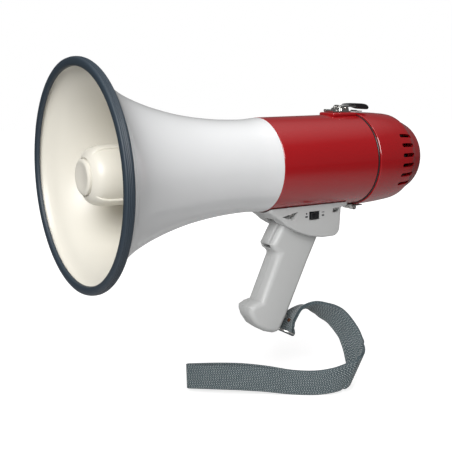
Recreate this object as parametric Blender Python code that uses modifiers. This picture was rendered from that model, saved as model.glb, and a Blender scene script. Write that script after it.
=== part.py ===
"""A pistol-grip megaphone, made as the separate pieces that it comes apart into.

Sizes are millimetres, turned into metres by the helpers. The horn's axis runs along X: stations are
measured back from the mouth's front edge, and heights from the axis. An empty carries that frame, so
that the object's own origin is the middle of the hand grip.
"""

from math import cos, pi, radians, sin, tan

import bmesh
import bpy
from mathutils import Matrix, Vector

MM = 0.001
GAP = 0.3

# Driving dimensions.
GRIP_CENTRE = (223.0, -118.0)
MOUTH_R = 105.0
OPENING_R = 96.5
RIM_WIDTH = 8.7
BELL_WALL = 2.2
BODY_START = 194.5
BODY_R = 47.3
BODY_END_R = 47.7
BODY_WALL = 2.4
SEAM = 314.0
COVER_R = 49.4
COVER_END = 392.0
COVER_WALL = 2.4
BOX_HALF = 23.0
GRIP_HALF = 13.5
SHELL_WALL = 2.6
SPLIT = 0.15
SINK = 2.2
CUP_R = 27.3
CUP_END = 118.0
RIB_ANGLES = (19, 139, 259)
BULKHEAD = 184.0
CELL_R = 13.1
CELL_NUB_R = 5.0
CELL_LENGTH = 50.0
CELL_RING_R = 29.5
CELL_START = 255.0
TRIGGER_PIVOT = (222.5, -61.0)
HINGE = (316.6, -52.3)
LATCH_PIVOT = (301.0, 54.6)
STRAP_EYE = (221.7, -174.2)
STRAP_BAR = (233.0, -179.5)
STRAP_WIDTH = 25.4
STRAP_THICK = 1.4
STRAP_TURN = 32.0
SLOT_ANGLES = (57.5, 70.5, 83.5, 96.5, 109.5, 122.5)


def clear_scene():
    for obj in list(bpy.data.objects):
        bpy.data.objects.remove(obj, do_unlink=True)
    for group in list(bpy.data.collections):
        bpy.data.collections.remove(group)


def new_collection(name):
    group = bpy.data.collections.new(name)
    bpy.context.scene.collection.children.link(group)
    return group


def new_material(name, colour, roughness, metallic=0.0):
    material = bpy.data.materials.new(name)
    material.use_nodes = True
    shader = material.node_tree.nodes["Principled BSDF"]
    shader.inputs["Base Color"].default_value = (*colour, 1)
    shader.inputs["Roughness"].default_value = roughness
    shader.inputs["Metallic"].default_value = metallic
    return material


clear_scene()
PARTS = new_collection("megaphone")
CUTTERS = new_collection("cutters")

WHITE = new_material("white_horn_plastic", (0.80, 0.80, 0.78), 0.25)
RED = new_material("red_body_plastic", (0.36, 0.012, 0.018), 0.25)
GREY = new_material("grey_handle_plastic", (0.50, 0.50, 0.48), 0.45)
BLACK = new_material("black_plastic", (0.02, 0.02, 0.022), 0.4)
SLATE = new_material("slate_rubber", (0.04, 0.055, 0.07), 0.6)
CHROME = new_material("chrome", (0.75, 0.75, 0.74), 0.15, 1.0)
STEEL = new_material("zinc_steel", (0.55, 0.55, 0.53), 0.35, 1.0)
FERRITE = new_material("ferrite", (0.05, 0.05, 0.05), 0.6)
COPPER = new_material("copper_winding", (0.6, 0.25, 0.1), 0.35, 1.0)
BOARD = new_material("circuit_board", (0.02, 0.16, 0.06), 0.5)
CELL = new_material("cell_jacket", (0.12, 0.13, 0.15), 0.35)
WEBBING = new_material("webbing", (0.10, 0.13, 0.14), 0.9)


def new_empty(name, station, height, parent=None):
    """An empty on a joint's axis, or the frame itself when it has no parent."""
    empty = bpy.data.objects.new(name, None)
    empty.empty_display_size = 0.02
    empty.location = (station * MM, 0, height * MM)
    empty.parent = parent
    PARTS.objects.link(empty)
    return empty


FRAME = new_empty("mouth_centre", -GRIP_CENTRE[0], -GRIP_CENTRE[1])
TRIGGER_JOINT = new_empty("trigger_axis", *TRIGGER_PIVOT, FRAME)
COVER_JOINT = new_empty("cover_axis", *HINGE, FRAME)
LATCH_JOINT = new_empty("latch_axis", *LATCH_PIVOT, FRAME)
RING_JOINT = new_empty("ring_axis", *STRAP_EYE, FRAME)
STRAP_JOINT = new_empty("strap_axis", *STRAP_BAR, FRAME)


def finish(obj, material, joint=None, smooth=True):
    """Names the material, shades it, and hangs the object on the frame or on its joint's empty."""
    obj.data.materials.clear()
    obj.data.materials.append(material)
    if smooth and obj.type == "MESH":
        obj.data.shade_smooth()
        obj.data.set_sharp_from_angle(angle=radians(35))
    for group in list(obj.users_collection):
        group.objects.unlink(obj)
    PARTS.objects.link(obj)
    obj.parent = FRAME
    if joint:
        obj.parent = joint
        obj.matrix_parent_inverse = Matrix.Translation(joint.location).inverted()
    return obj


def as_cutter(obj):
    for group in list(obj.users_collection):
        group.objects.unlink(obj)
    CUTTERS.objects.link(obj)
    obj.parent = FRAME
    obj.hide_render = True
    obj.display_type = "WIRE"
    return obj


def new_object(name, mesh):
    obj = bpy.data.objects.new(name, mesh)
    bpy.context.scene.collection.objects.link(obj)
    return obj


def new_box(name, low, high, bevel=0.0):
    """A box between two corners (station, side, height)."""
    mesh = bpy.data.meshes.new(name)
    shape = bmesh.new()
    bmesh.ops.create_cube(shape, size=1.0)
    size = [(b - a) * MM for a, b in zip(low, high)]
    middle = [(a + b) / 2 * MM for a, b in zip(low, high)]
    bmesh.ops.scale(shape, vec=size, verts=shape.verts)
    bmesh.ops.translate(shape, vec=middle, verts=shape.verts)
    shape.to_mesh(mesh)
    shape.free()
    obj = new_object(name, mesh)
    if bevel:
        add_bevel(obj, bevel, 2)
    return obj


def new_rod(name, start, end, radius, sides=16, end_radius=None):
    """A cylinder, or a cone, between two points (station, side, height)."""
    mesh = bpy.data.meshes.new(name)
    shape = bmesh.new()
    a, b = Vector(start) * MM, Vector(end) * MM
    far = radius if end_radius is None else end_radius
    bmesh.ops.create_cone(shape, cap_ends=True, segments=sides, radius1=radius * MM,
                          radius2=far * MM, depth=(b - a).length)
    turn = (b - a).to_track_quat("Z", "Y").to_matrix().to_4x4()
    bmesh.ops.transform(shape, matrix=Matrix.Translation((a + b) / 2) @ turn, verts=shape.verts)
    shape.to_mesh(mesh)
    shape.free()
    return new_object(name, mesh)


def new_turned(name, profile, sides=48, closed=True, centre=(0.0, 0.0)):
    """A turned shape about the horn's axis. The profile lists (station, radius), rear to front outside."""
    mesh = bpy.data.meshes.new(name)
    points = [(radius * MM, 0, station * MM) for station, radius in profile]
    edges = [(i, i + 1) for i in range(len(points) - 1)]
    if closed:
        edges.append((len(points) - 1, 0))
    mesh.from_pydata(points, edges, [])
    obj = new_object(name, mesh)
    obj.rotation_euler = (0, radians(90), 0)
    obj.location = (0, centre[0] * MM, centre[1] * MM)
    screw = obj.modifiers.new("turn", "SCREW")
    screw.steps = screw.render_steps = sides
    screw.use_merge_vertices = True
    screw.merge_threshold = 0.00002
    return obj


def new_outline(name, points, low, high):
    """A side outline (station, height) given thickness from one side position to another."""
    curve = bpy.data.curves.new(name, "CURVE")
    curve.dimensions = "2D"
    curve.fill_mode = "BOTH"
    curve.extrude = (high - low) / 2 * MM
    spline = curve.splines.new("POLY")
    spline.points.add(len(points) - 1)
    for point, (station, height) in zip(spline.points, points):
        point.co = (station * MM, height * MM, 0, 1)
    spline.use_cyclic_u = True
    obj = new_object(name, curve)
    obj.rotation_euler = (radians(90), 0, 0)
    obj.location = (0, (low + high) / 2 * MM, 0)
    return to_mesh(obj)


def new_wire(name, points, radius, cyclic=False, sides=2):
    curve = bpy.data.curves.new(name, "CURVE")
    curve.dimensions = "3D"
    curve.bevel_depth = radius * MM
    curve.bevel_resolution = sides
    curve.use_fill_caps = not cyclic
    spline = curve.splines.new("POLY")
    spline.points.add(len(points) - 1)
    for point, place in zip(spline.points, points):
        point.co = (*(Vector(place) * MM), 1)
    spline.use_cyclic_u = cyclic
    return new_object(name, curve)


def to_mesh(obj):
    """Turns a curve into a mesh with its caps welded, in its own place, so that it can be cut."""
    bpy.context.view_layer.update()
    graph = bpy.context.evaluated_depsgraph_get()
    mesh = bpy.data.meshes.new_from_object(obj.evaluated_get(graph))
    shape = bmesh.new()
    shape.from_mesh(mesh)
    bmesh.ops.remove_doubles(shape, verts=shape.verts, dist=0.00001)
    bmesh.ops.transform(shape, matrix=obj.matrix_world, verts=shape.verts)
    bmesh.ops.recalc_face_normals(shape, faces=shape.faces)
    shape.to_mesh(mesh)
    shape.free()
    name = obj.name
    bpy.data.objects.remove(obj, do_unlink=True)
    return new_object(name, mesh)


def add_bevel(obj, width, segments=2, angle=40):
    bevel = obj.modifiers.new("edges", "BEVEL")
    bevel.width = width * MM
    bevel.segments = segments
    bevel.limit_method = "ANGLE"
    bevel.angle_limit = radians(angle)
    return obj


def add_boolean(obj, other, operation="DIFFERENCE"):
    step = obj.modifiers.new(other.name, "BOOLEAN")
    step.operation = operation
    step.object = as_cutter(other)
    return obj


def offset_inside(profile, wall):
    """The inner wall of a turned shell: its outer profile, reversed and moved in by the wall."""
    return [(station, radius - wall) for station, radius in reversed(profile)]


def arc_points(centre, radius, start, end, count):
    """Points on an arc in the side view, angles in degrees from +X towards +Z."""
    angles = [radians(start + (end - start) * i / (count - 1)) for i in range(count)]
    return [(centre[0] + radius * cos(a), centre[1] + radius * sin(a)) for a in angles]


def ring_points(centre, radius, count):
    """(side, height) of each of count places round a circle, the first at the top."""
    angles = [2 * pi * i / count for i in range(count)]
    return [(centre[0] + radius * sin(a), centre[1] + radius * cos(a)) for a in angles]


# Horn

BELL_OUTER = [(BODY_START - GAP, 47.1), (172, 45.8), (140, 47.2), (106, 51.8), (76, 59.2), (52, 67.8),
              (34, 76.9), (20, 87.6), (12, 97.0), (6.0, 102.0)]


def make_bell():
    """The outer horn, with a lip at the mouth for the rubber guard and a spigot into the body."""
    spigot_end = BODY_START + 12
    spigot_r = BODY_R - BODY_WALL - GAP
    outer = [(spigot_end, spigot_r), (BODY_START - GAP, spigot_r)] + BELL_OUTER
    lip = [(3.2, 102.0), (3.2, 100.2), (5.4, 99.4)]
    inner = [(station, radius - BELL_WALL) for station, radius in reversed(BELL_OUTER[:-1])]
    inner += [(BODY_START, spigot_r - BELL_WALL), (spigot_end, spigot_r - BELL_WALL)]
    finish(new_turned("horn_bell", outer + lip + inner, 44), WHITE)


def make_rim_guard():
    """The rubber channel that is pushed over the bell's lip."""
    outer = [(RIM_WIDTH, 103.0), (7.0, 104.3), (4.4, MOUTH_R), (2.0, 104.6), (0, 102.6)]
    inner = [(0, 98.8), (1.4, 97.0), (3.4, OPENING_R), (3.6, 98.2)]
    channel = [(2.6, 99.8), (2.6, 102.5), (6.6, 102.5)]
    finish(new_turned("rim_guard", outer + inner + channel, 44), SLATE)


def make_reflector():
    """The round-nosed cup that turns the sound back, on three ribs that run on to the bulkhead."""
    outer = [(CUP_END, CUP_R), (24, CUP_R), (17, 25.6), (12.5, 22.6), (9.6, 18.4), (9.2, 17.4)]
    nose = [(10.4, 16.9), (10.4, 4.0), (12.9, 4.0), (12.9, 17.0)]
    inner = [(15.5, 21.0), (19, 23.4), (25, 24.9), (CUP_END, 24.9)]
    cup = new_turned("reflector", outer + nose + inner, 32)
    for number, angle in enumerate(RIB_ANGLES):
        rib = [(10.6, 19.4), (13.2, 24.0), (17.2, 27.3), (24, 29.2), (BULKHEAD - GAP, 29.2),
               (BULKHEAD - GAP, 25.6), (24, 25.6), (15, 21.8)]
        arm = new_outline(f"rib_{number}", rib, -3.3, 3.3)
        arm.matrix_world = Matrix.Rotation(radians(angle), 4, "X") @ arm.matrix_world
        add_boolean(cup, arm, "UNION")
    finish(cup, WHITE)
    cap = [(10.1, 2.0), (10.1, 16.4), (7.2, 16.4), (6.3, 15.2), (6.0, 12.0), (6.0, 2.0)]
    finish(new_turned("reflector_cap", cap, 28), WHITE)


def make_throat_plate():
    """The bulkhead at the bell's throat, moulded with the tone tube that reaches into the cup."""
    tube_front = 44
    plate_r = 42.0
    outer = [(BULKHEAD + 3, plate_r), (BULKHEAD, plate_r), (BULKHEAD, 14.5), (tube_front, 17.0)]
    inner = [(tube_front, 15.2), (BULKHEAD, 10.0), (BULKHEAD + 3, 10.0)]
    finish(new_turned("throat_plate", outer + inner, 28), WHITE)


# Driver

def make_driver():
    """A compression driver on the bulkhead: frame, diaphragm, coil, ring magnet and yoke."""
    front = BULKHEAD + 3 + GAP
    frame = [(front + 7, 39.0), (front, 39.0), (front, 10.0), (front + 2.2, 10.0), (front + 2.2, 27.0),
             (front + 7, 27.0)]
    finish(new_turned("driver_frame", frame, 24), BLACK)
    dome = [(front + 4.0, 0.0), (front + 4.6, 8.0), (front + 5.8, 15.0), (front + 6.4, 26.4),
            (front + 5.6, 26.4), (front + 5.2, 15.0), (front + 4.0, 8.0), (front + 3.4, 0.0)]
    finish(new_turned("driver_diaphragm", dome, 20, closed=False), COPPER)
    coil = [(front + 14, 13.6), (front + 6.1, 13.6), (front + 6.1, 12.9), (front + 14, 12.9)]
    finish(new_turned("voice_coil", coil, 20), COPPER)
    plate = front + 7 + GAP
    magnet = [(plate + 18, 33.0), (plate, 33.0), (plate, 15.5), (plate + 18, 15.5)]
    finish(new_turned("driver_magnet", magnet, 24), FERRITE)
    pole = plate + 18 + GAP
    yoke = [(pole + 5, 0.0), (pole + 5, 31.0), (pole, 31.0), (pole, 12.2), (plate - 0.2, 12.2),
            (plate - 0.2, 0.0)]
    finish(new_turned("driver_yoke", yoke, 24, closed=False), STEEL)


# Body

def make_body_shell():
    """The red tube, with the pad that carries the latch, and openings for the screws and the wiring."""
    rear = SEAM - 0.4
    outer = [(rear, BODY_END_R), (BODY_START, BODY_R)]
    shell = new_turned("body_shell", outer + offset_inside(outer, BODY_WALL), 44)
    pad = new_box("latch_pad", (281.5, -12, 45.9), (rear, 12, 50.0))
    add_bevel(pad, 1.5, 2)
    add_boolean(shell, pad, "UNION")
    add_boolean(shell, new_box("wiring_slot", (243, -8, -60), (259, 8, -40)))
    for number, (station, side, _) in enumerate(SCREW_PLACES):
        hole = new_rod(f"shell_hole_{number}", (station, side, -60), (station, side, -36), 1.9, 10)
        add_boolean(shell, hole)
    finish(shell, RED)


def make_gasket():
    ring = [(SEAM + 1.1, 48.3), (SEAM - 0.1, 48.3), (SEAM - 0.1, 45.6), (SEAM + 1.1, 45.6)]
    finish(new_turned("seal_gasket", ring, 36), BLACK)


def make_batteries():
    """Six cells in a ring on a carrier with two end plates and a hollow spine."""
    end = CELL_START + CELL_LENGTH
    carrier = [(end + 3.5, 44.2), (end + 1.2, 44.2), (end + 1.2, 14.0), (CELL_START - 1.2, 14.0),
               (CELL_START - 1.2, 44.2), (CELL_START - 3.5, 44.2), (CELL_START - 3.5, 5.0),
               (end + 3.5, 5.0)]
    finish(new_turned("battery_carrier", carrier, 24), BLACK)
    for number, place in enumerate(ring_points((0, 0), CELL_RING_R, 6)):
        cell = [(end - 1.6, 0.0), (end - 1.6, CELL_R), (CELL_START + 0.2, CELL_R),
                (CELL_START + 0.2, 0.0)]
        if number % 2:
            cell = [(end, 0.0), (end, CELL_NUB_R), (end - 1.6, CELL_NUB_R), (end - 1.6, CELL_R),
                    (CELL_START + 0.2, CELL_R), (CELL_START + 0.2, 0.0)]
        obj = new_turned(f"battery_cell_{number + 1}", cell, 18, closed=False, centre=place)
        finish(obj, CELL)


# Rear cover

COVER_OUTER = [(COVER_END, 20.0), (391.2, 27.0), (388.8, 32.0), (384.5, 35.8), (379, 38.5), (373, 41.0),
                (368.5, 43.4), (364.5, 45.6), (359, 46.9), (350, 47.8), (340, 48.6), (326, COVER_R),
                (SEAM + 1.6, COVER_R)]


def make_rear_cover():
    """The domed cover, with vents down both sides and a well at the back for the volume knob."""
    well_floor = COVER_END - 9
    inner = [(SEAM + 1.6, 46.8), (340, 46.0), (355, 44.6), (365, 42.2), (371, 39.4), (380.5, 35.2),
             (386.0, 29.0), (388.5, 18.6), (well_floor - 2.2, 17.4), (well_floor - 2.2, 5.0), (well_floor, 5.0),
             (well_floor, 15.0), (COVER_END, 15.0)]
    cover = new_turned("rear_cover", COVER_OUTER + inner, 40)
    for side in (-1, 1):
        for number, angle in enumerate(SLOT_ANGLES):
            slot = new_box(f"vent_{side}_{number}", (348.5, -2.1, 34), (368.5, 2.1, 56))
            slot.matrix_world = Matrix.Rotation(radians(-side * angle), 4, "X")
            add_boolean(cover, slot)
    finish(cover, RED, COVER_JOINT)


def make_microphone_and_volume():
    holder = [(366, 12.0), (340, 12.0), (340, 7.4), (363, 7.4), (363, 2.0), (366, 2.0)]
    finish(new_turned("microphone_holder", holder, 20, centre=(-24, 0)), BLACK, COVER_JOINT)
    capsule = [(352, 0.0), (352, 7.0), (342, 7.0), (342, 0.0)]
    finish(new_turned("microphone_capsule", capsule, 20, closed=False, centre=(-24, 0)), STEEL,
           COVER_JOINT)
    floor = COVER_END - 9
    pot = [(floor + 6.6, 0.0), (floor + 6.6, 3.0), (floor - 2.6, 3.0), (floor - 2.6, 9.0),
           (floor - 11, 9.0), (floor - 11, 0.0)]
    finish(new_turned("volume_pot", pot, 20, closed=False), STEEL, COVER_JOINT)
    knob = [(COVER_END - 0.5, 0.0), (COVER_END - 0.5, 9.6), (COVER_END - 1.4, 10.6),
            (floor + 0.5, 11.2), (floor + 0.5, 3.3), (floor + 7.0, 3.3), (floor + 7.0, 0.0)]
    finish(new_turned("volume_knob", knob, 24, closed=False), BLACK, COVER_JOINT)


# Handle

BOX_OUTLINE = [(195, -36), (195, -46.5), (208, -55), (214, -60), (229, -68.5), (246, -74.6),
               (262, -77.5)] + arc_points((276, -68.5), 9.0, -90, -8, 5) + [(286.2, -47.5),
               (294.5, -47), (294.5, -36)]
GRIP_OUTLINE = [(216, -52), (217.5, -62), (208.4, -77), (205.4, -81.5), (207.6, -86.5), (214.5, -91.5),
                (193, -139), (185.5, -140.2), (179, -143.4), (178.6, -148), (181, -155), (187.5, -164.5),
                (198, -171.8), (208, -175), (216, -175), (226, -157), (252, -103), (265, -78),
                (268, -60)]
BOX_HOLLOW = [(206, -38), (206, -49), (216, -57.5), (230, -65.5), (247, -71.8), (262, -74.6),
              (276, -74.6), (282.5, -68), (283, -50), (283, -38)]
GRIP_HOLLOW = [(222, -56), (222, -64), (213.5, -78), (217.5, -91), (197.5, -137), (185, -146),
               (190.5, -160), (200, -168.3), (212, -171.6), (222.5, -156), (248.5, -102), (261, -78),
               (261, -64), (240, -60)]
SCREW_PLACES = [(222.5, -19.0, -49.8), (222.5, 19.0, -49.8), (279.5, -19.5, -47.9), (279.5, 19.5, -47.9)]
GRIP_SCREW_PLACES = [(237, -104), (200, -157), (264, -69)]


def make_handle_half(name, side):
    """One half of the switch housing and grip. side is -1 for the left half, on the near side."""
    half = new_outline(name, BOX_OUTLINE, -BOX_HALF, BOX_HALF)
    add_bevel(half, 2.0, 1, 50)
    grip = add_bevel(new_outline(f"{name}_grip", GRIP_OUTLINE, -GRIP_HALF, GRIP_HALF), 6.0, 3, 60)
    add_boolean(half, grip, "UNION")
    hollow = new_outline(f"{name}_box_hollow", BOX_HOLLOW, SHELL_WALL - BOX_HALF, BOX_HALF - SHELL_WALL)
    add_boolean(half, hollow)
    bore = new_outline(f"{name}_grip_hollow", GRIP_HOLLOW, SHELL_WALL - GRIP_HALF, GRIP_HALF - SHELL_WALL)
    add_boolean(half, add_bevel(bore, 4.0, 1, 60))
    add_bosses(half, name, side)
    add_boolean(half, new_rod(f"{name}_saddle", (150, 0, 0), (340, 0, 0), BODY_END_R + 2 * GAP, 44))
    for front_side in (-1, 1):
        add_boolean(half, make_nose_taper(name, front_side))
    slot = [(219, -49), (190, -70), (190, -85.7), (214, -85.7), (221, -72), (229, -64), (229, -56)]
    add_boolean(half, new_outline(f"{name}_trigger_slot", slot, -7.0, 7.0))
    station, height = TRIGGER_PIVOT
    room = new_rod(f"{name}_pivot_room", (station, -10.1, height), (station, 10.1, height), 4.4, 12)
    add_boolean(half, room)
    add_screw_pockets(half, name, side)
    if side < 0:
        window = new_box(f"{name}_window", (243.6, -30, -57.6), (257.4, -17, -48.8))
        add_boolean(half, window)
    keep = new_box(f"{name}_keep", (150, SPLIT if side > 0 else -60, -200),
                   (340, 60 if side > 0 else -SPLIT, 0))
    add_boolean(half, keep, "INTERSECT")
    finish(half, GREY)


def make_nose_taper(name, side):
    """The wedge taken off each front corner, so that the housing narrows to its nose in plan."""
    low, high = sorted((0, side * 30))
    wedge = new_box(f"{name}_taper_{side}", (-40, low, -80), (0, high, -30))
    lean = Matrix.Rotation(radians(side * -31), 4, "Z")
    wedge.matrix_world = Matrix.Translation(Vector((219, side * BOX_HALF, 0)) * MM) @ lean
    return wedge


def add_bosses(half, name, side):
    """Screw bosses across the grip and pivot bosses for the trigger's pin, with their bores."""
    for number, (station, height) in enumerate(GRIP_SCREW_PLACES):
        face = BOX_HALF if height > -70 else GRIP_HALF
        reach = face - 1.0
        boss = new_rod(f"{name}_boss_{number}", (station, -reach, height), (station, reach, height), 4.0, 10)
        add_boolean(half, boss, "UNION")
        bore = new_rod(f"{name}_bore_{number}", (station, -8, height), (station, 30, height), 1.7, 10)
        add_boolean(half, bore)
        sink = new_rod(f"{name}_sink_{number}", (station, face - SINK, height), (station, 30, height), 3.4, 10)
        add_boolean(half, sink)
    station, height = TRIGGER_PIVOT
    pivot = new_rod(f"{name}_pivot", (station, side * 10.2, height),
                    (station, side * (BOX_HALF - 1), height), 3.4, 10)
    add_boolean(half, pivot, "UNION")
    bore = new_rod(f"{name}_pivot_bore", (station, -15.2, height), (station, 15.2, height), 1.7, 12)
    add_boolean(half, bore)


def add_screw_pockets(half, name, side):
    """Open pockets under the flange, with the holes that the housing screws pass up through."""
    front = [(209.5, -51.4), (229.5, -47.6), (224.5, -57.0)]
    rear = [(274.5, -47.6), (283.8, -47.6), (283.8, -52.4), (274.5, -52.4)]
    depth = 8.0
    for number, outline in enumerate((front, rear)):
        low, high = sorted((side * 26.0, side * (BOX_HALF - depth)))
        wall_low, wall_high = sorted((side * (BOX_HALF - 1), side * (BOX_HALF - depth - 1.6)))
        backing = new_outline(f"{name}_backing_{number}", widen(outline, 1.6), wall_low, wall_high)
        add_boolean(half, backing, "UNION")
        add_boolean(half, new_outline(f"{name}_pocket_{number}", outline, low, high))
    for number, (station, place, _) in enumerate(SCREW_PLACES):
        if place * side > 0:
            hole = new_rod(f"{name}_hole_{number}", (station, place, -51), (station, place, -36), 1.9, 10)
            add_boolean(half, hole)


def widen(outline, amount):
    """The outline moved out from its middle by an amount at each corner."""
    middle = sum((Vector(p) for p in outline), Vector((0, 0))) / len(outline)
    moved = []
    for point in outline:
        arm = Vector(point) - middle
        moved.append(tuple(middle + arm * (1 + 1.4 * amount / arm.length)))
    return moved


def make_screws():
    """Housing screws, up through the flange into the body, and grip screws through the far half."""
    for number, (station, side, head_top) in enumerate(SCREW_PLACES):
        screw = new_rod(f"housing_screw_{number + 1}", (station, side, head_top - 1.8),
                        (station, side, head_top), 3.0, 12)
        shank = new_rod(f"housing_shank_{number + 1}", (station, side, head_top - 0.5),
                        (station, side, -38.5), 1.5, 10)
        add_boolean(screw, shank, "UNION")
        finish(screw, STEEL)
    for number, (station, height) in enumerate(GRIP_SCREW_PLACES):
        floor = (BOX_HALF if height > -70 else GRIP_HALF) - SINK
        screw = new_rod(f"grip_screw_{number + 1}", (station, floor + GAP, height),
                        (station, floor + 1.9, height), 3.0, 12)
        shank = new_rod(f"grip_shank_{number + 1}", (station, -7.0, height),
                        (station, floor + 0.6, height), 1.4, 10)
        add_boolean(screw, shank, "UNION")
        finish(screw, STEEL)


def make_trigger():
    """The trigger blade, its pin, its return spring and the switch that it works."""
    outline = [(219.0, -56.2), (212.5, -64.5), (206.0, -75.4), (204.4, -79.0), (205.4, -82.2),
               (207.6, -82.9), (210.2, -81.0), (214.5, -73.5), (221.5, -66.0), (227.0, -62.5),
               (227.0, -57.5), (224.0, -55.6)]
    blade = add_bevel(new_outline("trigger", outline, -6.4, 6.4), 1.0, 2, 25)
    station, height = TRIGGER_PIVOT
    add_boolean(blade, new_rod("trigger_bore", (station, -9, height), (station, 9, height), 1.75, 14))
    finish(blade, GREY, TRIGGER_JOINT)
    finish(new_rod("trigger_pin", (station, -14.8, height), (station, 14.8, height), 1.4, 12), STEEL)
    turns = 3
    per_turn = 8
    coil = [(station + 2.5 * cos(2 * pi * i / per_turn), 7.1 + 2.4 * i / (turns * per_turn),
             height + 2.5 * sin(2 * pi * i / per_turn)) for i in range(turns * per_turn + 1)]
    finish(new_wire("trigger_spring", coil, 0.3, sides=1), STEEL)
    case = new_box("microswitch", (222.5, -3, -88), (232, 3, -73.5), 0.6)
    add_boolean(case, new_box("plunger", (220.6, -1.5, -79), (223, 1.5, -76)), "UNION")
    finish(case, BLACK)


def make_electronics():
    """The amplifier board in the switch housing, and the talk and siren switch."""
    board = new_box("amplifier_board", (236, -12, -63.4), (280, 18, -61.8))
    for name, low, high in (("heat_sink", (262, -6, -62), (277, 11, -54)),
                            ("chip", (240, -4, -62), (256, 6, -59.5))):
        add_boolean(board, new_box(name, low, high), "UNION")
    for number, side in enumerate((9.5, 15.0)):
        can = new_rod(f"capacitor_{number}", (250, side, -62), (250, side, -54), 2.4, 8)
        add_boolean(board, can, "UNION")
    finish(board, BOARD)
    finish(new_box("mode_switch_body", (244, -22.2, -57.2), (257, -14, -49.2), 0.4), BLACK)
    knob = new_box("mode_switch_knob", (244.8, -25.4, -56.0), (250.6, -22.5, -50.4), 0.5)
    finish(knob, BLACK)


# Latch and hinge

def make_latch():
    """A sprung arm on a riveted base, reaching back over the seam to a keeper on the cover."""
    station, height = LATCH_PIVOT
    base = new_box("latch_base", (284.5, -7.5, 50.3), (309, 7.5, 51.3))
    for side in (-1, 1):
        inner, outer = sorted((side * 6.4, side * 7.5))
        ear = new_outline(f"latch_ear_{side}", [(295.5, 50.6), (306.5, 50.6), (305.2, 55.5), (303.2, 57.4),
                                                (298.8, 57.4), (296.8, 55.5)], inner, outer)
        add_boolean(base, ear, "UNION")
    channel = new_outline("latch_channel", [(292.5, 51.0), (292.5, 53.0), (293.6, 54.6), (296.6, 54.6),
                                            (296.6, 51.0)], -5.6, 5.6)
    add_boolean(base, channel, "UNION")
    curl = new_rod("latch_curl", (285.5, -7.5, 51.9), (285.5, 7.5, 51.9), 1.4, 10)
    add_boolean(base, curl, "UNION")
    add_boolean(base, new_rod("latch_bore", (station, -9, height), (station, 9, height), 1.35, 12))
    finish(base, CHROME)
    finish(new_rod("latch_pin", (station, -8.6, height), (station, 8.6, height), 1.05, 12), CHROME)
    rivet = new_rod("latch_rivet", (289.6, 0, 51.6), (289.6, 0, 52.7), 2.4, 12, 1.5)
    finish(rivet, CHROME)
    arm = [(298.4, 53.4), (298.2, 55.6), (299.6, 57.2), (304.5, 57.0), (318, 56.6), (318, 55.4),
           (305.5, 55.2), (303.6, 53.0), (301.0, 51.9), (299.2, 52.4)]
    lever = new_outline("latch_arm", arm, -6.0, 6.0)
    add_boolean(lever, new_rod("arm_bore", (station, -7, height), (station, 7, height), 1.35, 12))
    add_boolean(lever, new_box("arm_fork", (295, -3.2, 50), (304, 3.2, 60)))
    finish(lever, CHROME, LATCH_JOINT)
    hub = [(-2.9 + 5.8 * i / 24, 2 * pi * i / 8) for i in range(25)]
    coil = [(station + 1.75 * cos(a), y, height + 1.75 * sin(a)) for y, a in hub]
    finish(new_wire("latch_spring", coil, 0.28, sides=1), STEEL)
    grip_outline = [(307.5, 57.0 + GAP), (311, 58.6), (322, 58.9), (330, 57.8), (333.4, 55.6),
                    (333.8, 53.6), (331.6, 52.4), (326.5, 53.0), (320, 54.8), (318 + GAP, 55.0),
                    (318 + GAP, 56.6 + GAP)]
    grip = add_bevel(new_outline("latch_grip", grip_outline, -7.2, 7.2), 1.0, 2, 30)
    finish(grip, BLACK, LATCH_JOINT)
    keeper = new_box("latch_keeper", (318.5, -5.5, 50.0), (326.5, 5.5, 51.0))
    hook = new_outline("keeper_hook", [(318.5, 50.4), (321.0, 50.4), (320.4, 51.8), (318.5, 52.0)],
                       -4.0, 4.0)
    add_boolean(keeper, hook, "UNION")
    finish(keeper, CHROME, COVER_JOINT)


def make_hinge():
    """A butt hinge across the bottom of the seam."""
    station, height = HINGE
    bent = [(297, -48.3), (312.2, -48.3), (315.2, -50.1), (316.6, -52.3), (314.4, -52.8), (313.2, -50.8),
            (311.8, -49.4), (297, -49.4)]
    front = new_outline("hinge_front_leaf", bent, -8.5, 8.5)
    rear = new_box("hinge_rear_leaf", (317.5, -8.5, -50.9), (328, 8.5, -49.9))
    for side in (-1, 1):
        knuckle = new_rod(f"front_knuckle_{side}", (station, side * 3.4, height),
                          (station, side * 8.5, height), 2.5, 14)
        add_boolean(front, knuckle, "UNION")
    add_boolean(front, new_box("front_relief", (313.6, -3.4, -60), (330, 3.4, -40)))
    knuckle = new_rod("rear_knuckle", (station, -3.0, height), (station, 3.0, height), 2.5, 14)
    add_boolean(rear, knuckle, "UNION")
    for side in (-1, 1):
        low, high = sorted((side * 3.0, side * 12.0))
        add_boolean(rear, new_box(f"rear_relief_{side}", (310, low, -60), (319.6, high, -40)))
    for leaf in (front, rear):
        bore = new_rod(f"{leaf.name}_bore", (station, -10, height), (station, 10, height), 1.3, 12)
        add_boolean(leaf, bore)
    finish(front, CHROME)
    finish(rear, CHROME, COVER_JOINT)
    finish(new_rod("hinge_pin", (station, -9.3, height), (station, 9.3, height), 1.0, 12), CHROME)
    finish(new_rod("hinge_rivet_front", (304, 0, -51.2), (304, 0, -49.9), 1.4, 12, 2.4), CHROME)
    finish(new_rod("hinge_rivet_rear", (324.2, 0, -52.4), (324.2, 0, -51.2), 1.4, 12, 2.4), CHROME,
           COVER_JOINT)


# Strap

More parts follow.
